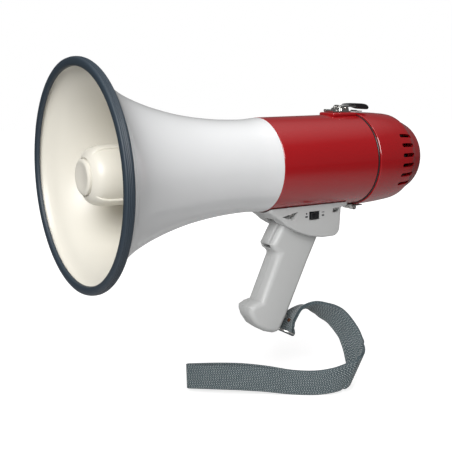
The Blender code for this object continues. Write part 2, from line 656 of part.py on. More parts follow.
# Places along the strap in its own upright plane, from the ring's bar: along, up, out towards the
# near side, and the turn in degrees of its width out of that plane.
STRAP_ROUTE = [(0.0, 0.0, 0.0, 122), (0.8, 7.5, 0.0, 118), (5.5, 15.5, -0.3, 104), (16.3, 25.4, 1.5, 80),
               (27.6, 26.8, 4.4, 54), (37.8, 24.7, 7.9, 40), (51.1, 18.9, 12.1, 28), (62.6, 5.4, 17.6, 30),
               (67.8, -6.4, 23.2, 33)]
# Where it rolls over towards the near side: the middle of the roll, its radius, its axis in the plane,
# the angle at which the strap crosses that axis, and the angles round it where the roll begins and ends.
ROLL_MIDDLE = (71.0, -26.6, 35.0)
ROLL_R = 8.0
ROLL_AXIS = -112.0
ROLL_CROSSING = 46.7
ROLL_SPAN = (45.0, 160.0)
# The length over which the lines across the strap turn to lie along the roll.
SKEW_LENGTH = 20.0
# From the roll to the far end of the loop: along, up, out, and half the gap between the two layers.
STRAP_RUN = [(46.5, -38.6, 44.2, 1.0), (26.6, -41.4, 44.5, 1.0), (2.1, -41.0, 43.2, 1.3),
             (-23.4, -38.1, 41.5, 3.5), (-49.0, -36.4, 39.9, 5.0), (-74.6, -36.4, 37.8, 4.4),
             (-102.0, -37.0, 35.8, 2.2)]


def smooth_route(points, steps):
    """A Catmull-Rom curve through the points, all their values together."""
    points = [Vector(p) for p in points]
    ends = [2 * points[0] - points[1]] + points + [2 * points[-1] - points[-2]]
    found = []
    for p, q, r, s in zip(ends, ends[1:], ends[2:], ends[3:]):
        for i in range(steps):
            t = i / steps
            found.append(0.5 * (2 * q + (r - p) * t + (2 * p - 5 * q + 4 * r - s) * t * t
                                + (3 * q - 3 * r + s - p) * t ** 3))
    return found + [points[-1]]


def in_plane(angle):
    return Vector((cos(radians(angle)), sin(radians(angle)), 0))


def roll_place(angle):
    """(place, direction along, direction across) where the strap lies at an angle round its roll."""
    axis, side, out = in_plane(ROLL_AXIS), in_plane(ROLL_AXIS + 90), Vector((0, 0, 1))
    crossing, turn = radians(ROLL_CROSSING), radians(angle)
    place = (Vector(ROLL_MIDDLE) + axis * ROLL_R * (turn - pi / 2) / tan(crossing)
             + side * ROLL_R * (sin(turn) - 1) - out * ROLL_R * cos(turn))
    round_way = side * cos(turn) + out * sin(turn)
    along = axis * cos(crossing) + round_way * sin(crossing)
    return place, along, round_way * cos(crossing) - axis * sin(crossing)


def strap_station(place, along, across, half, lean=1.0):
    """One station of the strap: its place, the vector to its edge, and half the gap of its layers."""
    skew = along * lean / tan(radians(ROLL_CROSSING))
    return place, (across - skew) * STRAP_WIDTH / 2, half


def headings(points):
    """The direction along a row of points, at each of them."""
    ends = [points[0]] + points + [points[-1]]
    return [Vector((after - before)[:3]).normalized() for before, after in zip(ends, ends[2:])]


def strap_stations(arc_steps=3, roll_steps=6, run_steps=2):
    """The stations along the doubled strap, in the strap's own plane."""
    begin, end = ROLL_SPAN
    arc_end, _, arc_across = roll_place(begin)
    run_start, _, run_across = roll_place(end)
    arc = smooth_route(STRAP_ROUTE + [(*arc_end, STRAP_ROUTE[-1][3])], arc_steps)
    stations = []
    for i, (point, along) in enumerate(zip(arc, headings(arc))):
        place = Vector(point[:3])
        flat = Vector((0, 0, 1)).cross(along).normalized()
        turn = radians(point[3])
        lean = max(0.0, 1 - (arc_end - place).length / SKEW_LENGTH)
        across = (flat * cos(turn) + along.cross(flat) * sin(turn)).lerp(arc_across, lean).normalized()
        half = 1.0
        if i < arc_steps:
            across = Vector((sin(radians(STRAP_TURN)), 0, cos(radians(STRAP_TURN)))).lerp(across, i / arc_steps)
            half = 2.05 - 1.05 * i / arc_steps
        stations.append(strap_station(place, along, across.normalized(), half, lean))
    for i in range(1, roll_steps):
        stations.append(strap_station(*roll_place(begin + (end - begin) * i / roll_steps), 1.0))
    run = smooth_route([(*run_start, 1.0)] + STRAP_RUN, run_steps)
    for point, along in zip(run, headings(run)):
        place = Vector(point[:3])
        lean = max(0.0, 1 - (run_start - place).length / SKEW_LENGTH)
        upright = Vector((along[1], -along[0], 0)).lerp(run_across, lean).normalized()
        stations.append(strap_station(place, along, upright, point[3], lean))
    return stations


def strap_loop():
    """The closed centre line of the webbing, out along one layer and back along the other."""
    stations = strap_stations()
    out, back = [], []
    ways = headings([station[0] for station in stations])
    for (place, edge, half), along in zip(stations, ways):
        face = along.cross(edge).normalized()
        out.append((place + face * half, edge))
        back.append((place - face * half, edge))
    loop = list(out)
    loop += strap_turn(out[-1], back[-1], ways[-1])
    loop += list(reversed(back))
    loop += strap_turn(back[0], out[0], -ways[0])
    return loop


def strap_turn(start, end, ahead):
    """The half circle that joins the two layers at an end of the loop."""
    middle = (start[0] + end[0]) / 2
    arm = start[0] - middle
    turns = [radians(a) for a in (45, 90, 135)]
    return [(middle + arm * cos(a) + ahead * arm.length * sin(a), start[1]) for a in turns]


def to_frame(place):
    """From the strap's plane to the horn's frame."""
    turn = radians(STRAP_TURN)
    along = Vector((cos(turn), -sin(turn), 0))
    out = Vector((-sin(turn), -cos(turn), 0))
    origin = Vector((STRAP_BAR[0], 0, STRAP_BAR[1]))
    return origin + along * place[0] + Vector((0, 0, 1)) * place[1] + out * place[2]


def make_strap():
    """Webbing as one closed band: a strip round the loop, thickened."""
    loop = strap_loop()
    shape = bmesh.new()
    rows = []
    for place, edge in loop:
        rows.append([shape.verts.new(to_frame(place + way) * MM) for way in (edge, -edge)])
    for (a, b), (c, d) in zip(rows, rows[1:] + rows[:1]):
        shape.faces.new((a, b, d, c))
    mesh = bpy.data.meshes.new("wrist_strap")
    shape.to_mesh(mesh)
    shape.free()
    band = new_object("wrist_strap", mesh)
    solid = band.modifiers.new("thickness", "SOLIDIFY")
    solid.thickness = STRAP_THICK * MM
    solid.offset = 0
    finish(band, WEBBING, STRAP_JOINT)


def rivet_on_strap(name, index, shift):
    """A rivet's head on the near layer of the strap, at one of its stations."""
    stations = strap_stations()
    place, edge, half = stations[index]
    face = (stations[index + 1][0] - stations[index - 1][0]).cross(edge).normalized()
    base = place + edge.normalized() * shift - face * (half + STRAP_THICK / 2 + 3 * GAP)
    finish(new_rod(name, to_frame(base), to_frame(base - face * 1.1), 2.2, 14, 1.5), STEEL, STRAP_JOINT)


def make_strap_fittings():
    """The eye plate and its screw on the grip's heel, the wire ring, and the strap's rivets."""
    heel = Vector((216, -175))
    up = Vector((10, 18)).normalized()
    out = Vector((up.y, -up.x))

    def at(rise, stand):
        return tuple(heel + up * rise + out * stand)

    plate = new_outline("strap_lug", [at(1.5, GAP), at(14, GAP), at(14, 1.6), at(1.5, 1.6)], -5, 5)
    tab = new_outline("lug_tab", [at(1.5, 1.2), at(6.2, 1.2), at(6.6, 4.6), at(5.6, 6.6), at(3.6, 7.4),
                                  at(1.6, 6.6), at(0.6, 4.6)], -1.5, 1.5)
    add_boolean(plate, tab, "UNION")
    eye = STRAP_EYE
    add_boolean(plate, new_rod("lug_eye", (eye[0], -4, eye[1]), (eye[0], 4, eye[1]), 1.55, 14))
    finish(plate, STEEL)
    head, tip = at(10.6, 2.7), at(10.6, 1.6 + GAP)
    finish(new_rod("strap_screw", (tip[0], 0, tip[1]), (head[0], 0, head[1]), 2.4, 14, 1.8), STEEL)
    reach = Vector(STRAP_BAR) - Vector(STRAP_EYE)
    ahead = reach.normalized()
    bow = [(0.0, 0.0), (0.0, 2.0), (0.7, 5.0), (2.4, 8.6), (5.2, 11.8), (8.6, 13.9), (11.2, 14.6),
           (reach.length - 0.5, 14.3), (reach.length, 13.4), (reach.length, 6.0)]
    half = [(*(Vector(eye) + ahead * far), side) for far, side in bow]
    points = [(x, side, z) for x, z, side in half]
    points += [(x, -side, z) for x, z, side in reversed(half[1:])]
    finish(new_wire("strap_ring", points, 1.0, cyclic=True), CHROME, RING_JOINT)
    rivet_on_strap("strap_rivet_1", 5, 4.5)
    rivet_on_strap("strap_rivet_2", 5, -4.5)


def main():
    make_bell()
    make_rim_guard()
    make_reflector()
    make_throat_plate()
    make_driver()
    make_body_shell()
    make_gasket()
    make_batteries()
    make_rear_cover()
    make_microphone_and_volume()
    for name, side in (("handle_left", -1), ("handle_right", 1)):
        make_handle_half(name, side)
    make_screws()
    make_trigger()
    make_electronics()
    make_latch()
    make_hinge()
    make_strap()
    make_strap_fittings()


main()
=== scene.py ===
"""The looks of a pistol-grip megaphone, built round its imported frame.

Lengths in the helpers are millimetres in the horn's own terms: stations run back from the mouth's
front edge, sides run across, and heights are measured from the horn's axis.
"""

from math import cos, pi, radians, sin, tan

import bmesh
import bpy
from mathutils import Matrix, Vector


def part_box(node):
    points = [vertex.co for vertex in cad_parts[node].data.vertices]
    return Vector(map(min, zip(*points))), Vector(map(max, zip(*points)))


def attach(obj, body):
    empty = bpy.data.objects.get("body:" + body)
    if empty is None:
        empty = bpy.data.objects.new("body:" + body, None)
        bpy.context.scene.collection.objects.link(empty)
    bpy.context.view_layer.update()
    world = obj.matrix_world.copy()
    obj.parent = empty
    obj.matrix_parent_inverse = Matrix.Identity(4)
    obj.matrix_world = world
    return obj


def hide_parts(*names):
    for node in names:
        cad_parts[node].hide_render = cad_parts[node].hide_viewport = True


bl_info = {
    "name": "Handheld Megaphone",
    "version": (1, 0, 0),
    "blender": (4, 5, 0),
    "location": "View3D > Sidebar > Megaphone",
    "description": "Builds the outer pieces, finishes and stage of a pistol-grip megaphone",
    "category": "Object",
}

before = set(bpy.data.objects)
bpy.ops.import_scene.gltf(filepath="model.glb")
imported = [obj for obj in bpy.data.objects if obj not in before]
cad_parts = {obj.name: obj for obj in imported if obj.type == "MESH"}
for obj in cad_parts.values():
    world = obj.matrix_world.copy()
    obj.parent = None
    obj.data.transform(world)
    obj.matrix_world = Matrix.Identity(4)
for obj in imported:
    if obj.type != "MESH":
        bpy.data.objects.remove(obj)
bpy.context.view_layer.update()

MM = 0.001
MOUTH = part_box("rim_guard")[0].x
AXIS = (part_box("rim_guard")[0].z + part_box("rim_guard")[1].z) / 2
RIM_R = (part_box("rim_guard")[1].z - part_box("rim_guard")[0].z) / 2 / MM


# Placing and shaping

def at(station, side, height):
    """A point of the horn's terms, in metres."""
    return Vector((MOUTH + station * MM, side * MM, AXIS + height * MM))


def only(*chosen):
    """Leaves just these objects selected, the last of them active."""
    if bpy.context.object and bpy.context.object.mode != "OBJECT":
        bpy.ops.object.mode_set(mode="OBJECT")
    bpy.ops.object.select_all(action="DESELECT")
    for obj in chosen:
        obj.select_set(True)
        bpy.context.view_layer.objects.active = obj


def settle(name):
    """Names the newest object and puts its place into its mesh."""
    obj = bpy.context.object
    obj.name = name
    obj.data.name = name
    bpy.ops.object.transform_apply(location=True, rotation=True, scale=True)
    return obj


def edit(obj):
    only(obj)
    bpy.ops.object.mode_set(mode="EDIT")
    bpy.ops.mesh.select_all(action="SELECT")


def close_edit():
    """Turns every face outwards and leaves edit mode."""
    bpy.ops.mesh.select_all(action="SELECT")
    bpy.ops.mesh.remove_doubles(threshold=0.000002)
    bpy.ops.mesh.normals_make_consistent(inside=False)
    bpy.ops.object.mode_set(mode="OBJECT")


def close_pole():
    """Draws the selected ring in to one vertex."""
    bpy.ops.mesh.extrude_region_move(TRANSFORM_OT_translate={"value": (0, 0, 0)})
    bpy.ops.mesh.merge(type="CENTER")


def turned(name, profile, sides=96, side=0.0, height=0.0, solid=False):
    """A ring drawn through (station, radius) places. A solid one is closed at both of its poles."""
    only()
    station, radius = profile[0]
    bpy.ops.mesh.primitive_circle_add(vertices=sides, radius=radius * MM, rotation=(0, pi / 2, 0),
                                      location=at(station, side, height))
    obj = settle(name)
    edit(obj)
    ring = profile if solid else profile + profile[:1]
    for (station, radius), (next_station, next_radius) in zip(ring, ring[1:]):
        move = ((next_station - station) * MM, 0, 0)
        bpy.ops.mesh.extrude_region_move(TRANSFORM_OT_translate={"value": move})
        if next_radius != radius:
            grow = next_radius / radius
            bpy.ops.transform.resize(value=(1, grow, grow),
                                     center_override=at(next_station, side, height))
    if solid:
        close_pole()
        bpy.ops.mesh.select_all(action="DESELECT")
        bpy.ops.mesh.select_non_manifold()
        close_pole()
    close_edit()
    return obj


def outlined(name, points, low, high):
    """A side outline of (station, height) places, drawn out vertex by vertex and given thickness."""
    only()
    station, height = points[0]
    bpy.ops.mesh.primitive_plane_add(size=MM, location=at(station, low, height))
    obj = settle(name)
    edit(obj)
    bpy.ops.mesh.merge(type="CENTER")
    for (station, height), (next_station, next_height) in zip(points, points[1:]):
        move = ((next_station - station) * MM, 0, (next_height - height) * MM)
        bpy.ops.mesh.extrude_region_move(TRANSFORM_OT_translate={"value": move})
    bpy.ops.mesh.select_all(action="SELECT")
    bpy.ops.mesh.edge_face_add()
    bpy.ops.mesh.extrude_region_move(TRANSFORM_OT_translate={"value": (0, (high - low) * MM, 0)})
    close_edit()
    return obj


def block(name, low, high, bevel=0.0, segments=3):
    """A box between two corners, its edges rounded."""
    middle = [(a + b) / 2 for a, b in zip(low, high)]
    size = [(b - a) * MM for a, b in zip(low, high)]
    only()
    bpy.ops.mesh.primitive_cube_add(size=1, location=at(*middle), scale=size)
    obj = settle(name)
    if bevel:
        ease_edges(obj, bevel, segments)
    return obj


def rod(name, start, end, radius, sides=24, end_radius=None, bevel=0.0):
    """A round bar between two places, its ends rounded."""
    a, b = at(*start), at(*end)
    far = radius if end_radius is None else end_radius
    only()
    bpy.ops.mesh.primitive_cone_add(vertices=sides, radius1=radius * MM, radius2=far * MM,
                                    depth=(b - a).length, location=(a + b) / 2,
                                    rotation=(b - a).to_track_quat("Z", "Y").to_euler())
    obj = settle(name)
    if bevel:
        ease_edges(obj, bevel, 3, 50)
    return obj


def crossbar(name, place, low, high, radius, sides=24, bevel=0.0):
    """A round bar from side to side at a (station, height) place."""
    station, height = place
    return rod(name, (station, low, height), (station, high, height), radius, sides, bevel=bevel)


def modify(obj, kind, **settings):
    """Adds one modifier and applies it."""
    only(obj)
    step = obj.modifiers.new(kind.lower(), kind)
    for key, value in settings.items():
        setattr(step, key, value)
    bpy.ops.object.modifier_apply(modifier=step.name)
    return obj


def ease_edges(obj, width, segments, angle=30):
    """Rounds the edges that turn by more than an angle in degrees."""
    return modify(obj, "BEVEL", width=width * MM, segments=segments, limit_method="ANGLE",
                  angle_limit=radians(angle))


def combine(obj, other, operation="DIFFERENCE"):
    """Cuts, joins or trims an object by another, which is used up."""
    modify(obj, "BOOLEAN", object=other, operation=operation, solver="EXACT")
    bpy.data.objects.remove(other, do_unlink=True)
    return obj


def copy_of(obj, name):
    copy = obj.copy()
    copy.data = obj.data.copy()
    copy.name = name
    bpy.context.scene.collection.objects.link(copy)
    return copy


def turn_about_axis(obj, angle):
    """Turns an object's mesh about the horn's axis, by an angle in degrees from the top."""
    middle = at(0, 0, 0)
    spin = Matrix.Translation(middle) @ Matrix.Rotation(radians(angle), 4,
                                                        "X") @ Matrix.Translation(-middle)
    obj.data.transform(spin)
    return obj


def join(name, pieces):
    only(*pieces)
    bpy.ops.object.join()
    bpy.context.object.name = name
    return bpy.context.object


def wire(name, places, radius, cyclic=False):
    """A round wire along places already in metres, turned into a mesh."""
    curve = bpy.data.curves.new(name, "CURVE")
    curve.dimensions = "3D"
    curve.bevel_depth = radius * MM
    curve.bevel_resolution = 5
    curve.use_fill_caps = not cyclic
    spline = curve.splines.new("POLY")
    spline.points.add(len(places) - 1)
    for point, place in zip(spline.points, places):
        point.co = (*place, 1)
    spline.use_cyclic_u = cyclic
    obj = bpy.data.objects.new(name, curve)
    bpy.context.scene.collection.objects.link(obj)
    only(obj)
    bpy.ops.object.convert(target="MESH")
    return bpy.context.object


def finish(obj, body, slot, kind, *nodes, angle=32):
    """Shades a piece, gives it a finish by name, ties it to its body and hides the nodes it stands for.
    """
    only(obj)
    bpy.ops.object.shade_smooth_by_angle(angle=radians(angle))
    obj.data.materials.clear()
    obj.data.materials.append(finish_named(kind))
    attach(obj, body)
    if nodes:
        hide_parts(*nodes)
    return obj


def smooth(points, steps=6):
    """A Catmull-Rom curve through the points, all their values together."""
    points = [Vector(p) for p in points]
    ends = [2 * points[0] - points[1]] + points + [2 * points[-1] - points[-2]]
    found = []
    for p, q, r, s in zip(ends, ends[1:], ends[2:], ends[3:]):
        for i in range(steps):
            t = i / steps
            found.append(0.5 * (2 * q + (r - p) * t + (2 * p - 5 * q + 4 * r - s) * t * t
                                + (3 * q - 3 * r + s - p) * t ** 3))
    return found + [points[-1]]


def pairs(points):
    return [tuple(p) for p in points]


def rounded(points, size, steps=4):
    """An outline with each corner eased by a curve that starts a set distance before it."""
    found = []
    count = len(points)
    for i in range(count):
        before, here, after = (Vector(points[(i + k) % count]) for k in (-1, 0, 1))
        back, on = before - here, after - here
        start = here + back.normalized() * min(size, back.length * 0.45)
        end = here + on.normalized() * min(size, on.length * 0.45)
        for k in range(steps + 1):
            t = k / steps
            found.append(tuple(start * (1 - t) ** 2 + here * 2 * t * (1 - t) + end * t * t))
    return found


def arc(centre, radius, start, end, count):
    angles = [radians(start + (end - start) * i / (count - 1)) for i in range(count)]
    return [(centre[0] + radius * cos(a), centre[1] + radius * sin(a)) for a in angles]


# Finishes

def new_group(name, inputs, outputs):
    """A shader node group with named sockets, and its input and output nodes."""
    group = bpy.data.node_groups.new(name, "ShaderNodeTree")
    for label, kind, value in inputs:
        socket = group.interface.new_socket(name=label, in_out="INPUT", socket_type=kind)
        socket.default_value = value
    for label, kind in outputs:
        group.interface.new_socket(name=label, in_out="OUTPUT", socket_type=kind)
    return group, group.nodes.new("NodeGroupInput"), group.nodes.new("NodeGroupOutput")


def node(tree, kind, links=None, **settings):
    """A node with its settings, and with sockets filled by number or by another node's output."""
    made = tree.nodes.new(kind)
    for key, value in settings.items():
        setattr(made, key, value)
    for key, value in (links or {}).items():
        if isinstance(value, bpy.types.NodeSocket):
            tree.links.new(value, made.inputs[key])
        else:
            made.inputs[key].default_value = value
    return made


def maths(tree, operation, *values):
    """One maths node's result, from numbers or from other nodes' outputs."""
    return node(tree, "ShaderNodeMath", dict(enumerate(values)), operation=operation).outputs[0]


def make_moulding_group():
    """Slow mottling of a moulded colour, with a fine grain in its gloss and its surface."""
    colour, number = "NodeSocketColor", "NodeSocketFloat"
    group, start, end = new_group(
        "moulded_surface",
        [("Colour", colour, (0.5, 0.5, 0.5, 1)), ("Mottle", number, 0.06), ("Roughness", number, 0.3),
         ("Spread", number, 0.08), ("Grain", number, 900.0)],
        [("Colour", colour), ("Roughness", number), ("Height", number)])
    place = node(group, "ShaderNodeTexCoord").outputs["Object"]
    slow = node(group, "ShaderNodeTexNoise", {"Vector": place, "Scale": 26.0, "Detail": 4.0})
    fine = node(group, "ShaderNodeTexNoise",
                {"Vector": place, "Scale": start.outputs["Grain"], "Detail": 3.0})
    shade = maths(group, "MULTIPLY", slow.outputs[0], start.outputs["Mottle"])
    keep = maths(group, "SUBTRACT", 1.0, shade)
    tinted = node(group, "ShaderNodeVectorMath", {0: start.outputs["Colour"], "Scale": keep},
                  operation="SCALE")
    both = maths(group, "ADD", slow.outputs[0], fine.outputs[0])
    even = maths(group, "SUBTRACT", both, 1.0)
    gloss = maths(group, "MULTIPLY_ADD", even, start.outputs["Spread"], start.outputs["Roughness"])
    group.links.new(tinted.outputs[0], end.inputs["Colour"])
    group.links.new(gloss, end.inputs["Roughness"])
    group.links.new(fine.outputs[0], end.inputs["Height"])
    return group


def make_wear_group():
    """Fine handling scratches and dull spots, as a mask and as gloss."""
    colour, number = "NodeSocketColor", "NodeSocketFloat"
    group, start, end = new_group(
        "handling_wear",
        [("Colour", colour, (0.5, 0.5, 0.5, 1)), ("Worn Colour", colour, (0.7, 0.7, 0.7, 1)),
         ("Roughness", number, 0.3), ("Amount", number, 0.3)],
        [("Colour", colour), ("Roughness", number), ("Mask", number)])
    place = node(group, "ShaderNodeTexCoord").outputs["Object"]
    drawn = node(group, "ShaderNodeMapping", {"Vector": place, "Rotation": (0.3, 0.5, 0.2),
                                              "Scale": (90.0, 700.0, 1500.0)})
    scratch = node(group, "ShaderNodeTexNoise", {"Vector": drawn.outputs[0], "Scale": 1.0, "Detail": 2.0})
    patch = node(group, "ShaderNodeTexNoise", {"Vector": place, "Scale": 60.0, "Detail": 5.0})
    thin = node(group, "ShaderNodeMapRange",
                {"Value": scratch.outputs[0], "From Min": 0.66, "From Max": 0.8})
    some = node(group, "ShaderNodeMapRange",
                {"Value": patch.outputs[0], "From Min": 0.48, "From Max": 0.72})
    both = maths(group, "MULTIPLY", thin.outputs[0], some.outputs[0])
    mask = maths(group, "MULTIPLY", both, start.outputs["Amount"])
    mix = node(group, "ShaderNodeMix", {"Factor": mask}, data_type="RGBA")
    group.links.new(start.outputs["Colour"], mix.inputs[6])
    group.links.new(start.outputs["Worn Colour"], mix.inputs[7])
    dull = maths(group, "MULTIPLY_ADD", mask, 0.4, start.outputs["Roughness"])
    group.links.new(mix.outputs[2], end.inputs["Colour"])
    group.links.new(dull, end.inputs["Roughness"])
    group.links.new(mask, end.inputs["Mask"])
    return group


def make_weave_group():
    """A herringbone weave over a band's own UV map: thread relief, and where the light threads show."""
    number = "NodeSocketFloat"
    group, start, end = new_group(
        "herringbone_weave",
        [("Threads Across", number, 14.0), ("Threads Along", number, 1.0)],
        [("Height", number), ("Light Thread", number)])
    place = node(group, "ShaderNodeUVMap", uv_map="band")
    split = node(group, "ShaderNodeSeparateXYZ", {0: place.outputs[0]})
    across = maths(group, "MULTIPLY", split.outputs[0], start.outputs["Threads Across"])
    fold = maths(group, "PINGPONG", across, 1.75)
    along = maths(group, "MULTIPLY", split.outputs[1], start.outputs["Threads Along"])
    slant = maths(group, "ADD", along, fold)
    twill = maths(group, "PINGPONG", slant, 0.5)
    warp = maths(group, "PINGPONG", across, 0.5)
    height = maths(group, "ADD", twill, warp)
    light = node(group, "ShaderNodeMapRange", {"Value": twill, "From Min": 0.36, "From Max": 0.46})
    thread = node(group, "ShaderNodeMapRange", {"Value": warp, "From Min": 0.08, "From Max": 0.3})
    fleck = maths(group, "MULTIPLY", light.outputs[0], thread.outputs[0])
    group.links.new(height, end.inputs["Height"])
    group.links.new(fleck, end.inputs["Light Thread"])
    return group


MOULDING = make_moulding_group()
WEAR = make_wear_group()
WEAVE = make_weave_group()


def new_finish(name, colour, roughness, mottle=0.05, grain=900.0, bump=0.04, wear=0.2, worn=None,
               metallic=0.0, coat=0.0, spread=0.08):
    """A material with moulded grain and light wear. Plain constants stay on the shader itself."""
    material = bpy.data.materials.new(name)
    material.use_nodes = True
    tree = material.node_tree
    shader = tree.nodes["Principled BSDF"]
    shader.inputs["Metallic"].default_value = metallic
    shader.inputs["Coat Weight"].default_value = coat
    shader.inputs["Coat Roughness"].default_value = 0.08
    base = node(tree, "ShaderNodeGroup", node_tree=MOULDING)
    for key, value in (("Colour", (*colour, 1)), ("Mottle", mottle), ("Roughness", roughness),
                       ("Spread", spread), ("Grain", grain)):
        base.inputs[key].default_value = value
    worn = worn or tuple(min(1.0, c * 1.3 + 0.03) for c in colour)
    marks = node(tree, "ShaderNodeGroup", node_tree=WEAR)
    marks.inputs["Worn Colour"].default_value = (*worn, 1)
    marks.inputs["Amount"].default_value = wear
    tree.links.new(base.outputs["Colour"], marks.inputs["Colour"])
    tree.links.new(base.outputs["Roughness"], marks.inputs["Roughness"])
    tree.links.new(marks.outputs["Colour"], shader.inputs["Base Color"])
    tree.links.new(marks.outputs["Roughness"], shader.inputs["Roughness"])
    relief = node(tree, "ShaderNodeBump", {"Height": base.outputs["Height"], "Strength": bump,
                                           "Distance": 0.0004})
    tree.links.new(relief.outputs[0], shader.inputs["Normal"])
    return material


def new_webbing(name, colour, light):
    """Woven cotton-like band with light threads in zig-zag rows."""
    material = new_finish(name, colour, 0.85, mottle=0.25, grain=2500.0, bump=0.3, wear=0.0)
    tree = material.node_tree
    shader = tree.nodes["Principled BSDF"]
    shader.inputs["Sheen Weight"].default_value = 0.25
    shader.inputs["Sheen Roughness"].default_value = 0.5
    weave = node(tree, "ShaderNodeGroup", node_tree=WEAVE)
    weave.inputs["Threads Across"].default_value = 560.0
    weave.inputs["Threads Along"].default_value = 400.0
    worn = shader.inputs["Base Color"].links[0].from_socket
    flecked = node(tree, "ShaderNodeMix", {"Factor": weave.outputs["Light Thread"]}, data_type="RGBA")
    tree.links.new(worn, flecked.inputs[6])
    flecked.inputs[7].default_value = (*light, 1)
    tree.links.new(flecked.outputs[2], shader.inputs["Base Color"])
    relief = node(tree, "ShaderNodeBump", {"Height": weave.outputs["Height"], "Strength": 0.9,
                                           "Distance": 0.0005})
    tree.links.new(relief.outputs[0], shader.inputs["Normal"])
    return material


class MegaphoneSizes(bpy.types.PropertyGroup):
    """Sizes of the details that the frame leaves open."""
    horn_sides: bpy.props.IntProperty(
        name="Horn Sides", description="Facets round the horn and the body", default=128, min=32, max=256)
    ridge_depth: bpy.props.FloatProperty(
        name="Ridge Depth", description="Depth of the fine ridges round the rim guard, in millimetres",
        default=0.45, min=0.0, max=1.0)
    ridge_count: bpy.props.IntProperty(
        name="Ridges", description="Ridges round the rim guard", default=4, min=0, max=10)
    vent_width: bpy.props.FloatProperty(
        name="Vent Width", description="Width of each vent in the rear cover, in millimetres",
        default=4.2, min=2.0, max=6.0)
    strap_steps: bpy.props.IntProperty(
        name="Strap Steps", description="Rows of faces between the strap's stations", default=8,
        min=2, max=20)


class MegaphoneColours(bpy.types.PropertyGroup):
    """Colours of the finishes that are seen."""
    body: bpy.props.FloatVectorProperty(
        name="Body", description="Body shell and rear cover", subtype="COLOR", default=(0.33, 0.005,
                                                                                        0.008))
    horn: bpy.props.FloatVectorProperty(
        name="Horn", description="Outside of the bell", subtype="COLOR", default=(0.72, 0.725, 0.73))
    horn_inside: bpy.props.FloatVectorProperty(
        name="Horn Inside", description="Inside of the bell and the reflector", subtype="COLOR",
        default=(0.74, 0.71, 0.63))
    rim: bpy.props.FloatVectorProperty(
        name="Rim Guard", description="Rubber round the mouth", subtype="COLOR", default=(0.022, 0.036,
                                                                                          0.052))
    handle: bpy.props.FloatVectorProperty(
        name="Handle", description="Grip, switch housing and trigger", subtype="COLOR",
        default=(0.51, 0.515, 0.51))
    strap: bpy.props.FloatVectorProperty(
        name="Strap", description="Ground threads of the wrist strap", subtype="COLOR",
        default=(0.05, 0.074, 0.084))


class MegaphoneStage(bpy.types.PropertyGroup):
    """Light, floor and camera."""
    key_power: bpy.props.FloatProperty(
        name="Key Light", description="Power of the soft light over the near side", default=26.0, min=0,
        unit="POWER")
    top_power: bpy.props.FloatProperty(
        name="Top Light", description="Power of the long soft light above", default=5.0, min=0,
        unit="POWER")
    around: bpy.props.FloatProperty(
        name="Surround", description="Brightness of the white surround", default=0.9, min=0)
    turn: bpy.props.FloatProperty(
        name="Turn", description="Camera's turn round the object", subtype="ANGLE",
        default=radians(-32.374))
    rise: bpy.props.FloatProperty(
        name="Rise", description="Camera's rise above the level", subtype="ANGLE",
        default=radians(10.458))
    distance: bpy.props.FloatProperty(
        name="Distance", description="From the camera to the middle of the view", unit="LENGTH",
        default=0.818)
    lens: bpy.props.FloatProperty(
        name="Lens", description="Focal length of the camera", unit="CAMERA", default=65.7)


FINISHES = {}


def finish_named(name):
    if name not in FINISHES:
        raise RuntimeError(f"the finish {name} is made first")
    return FINISHES[name]


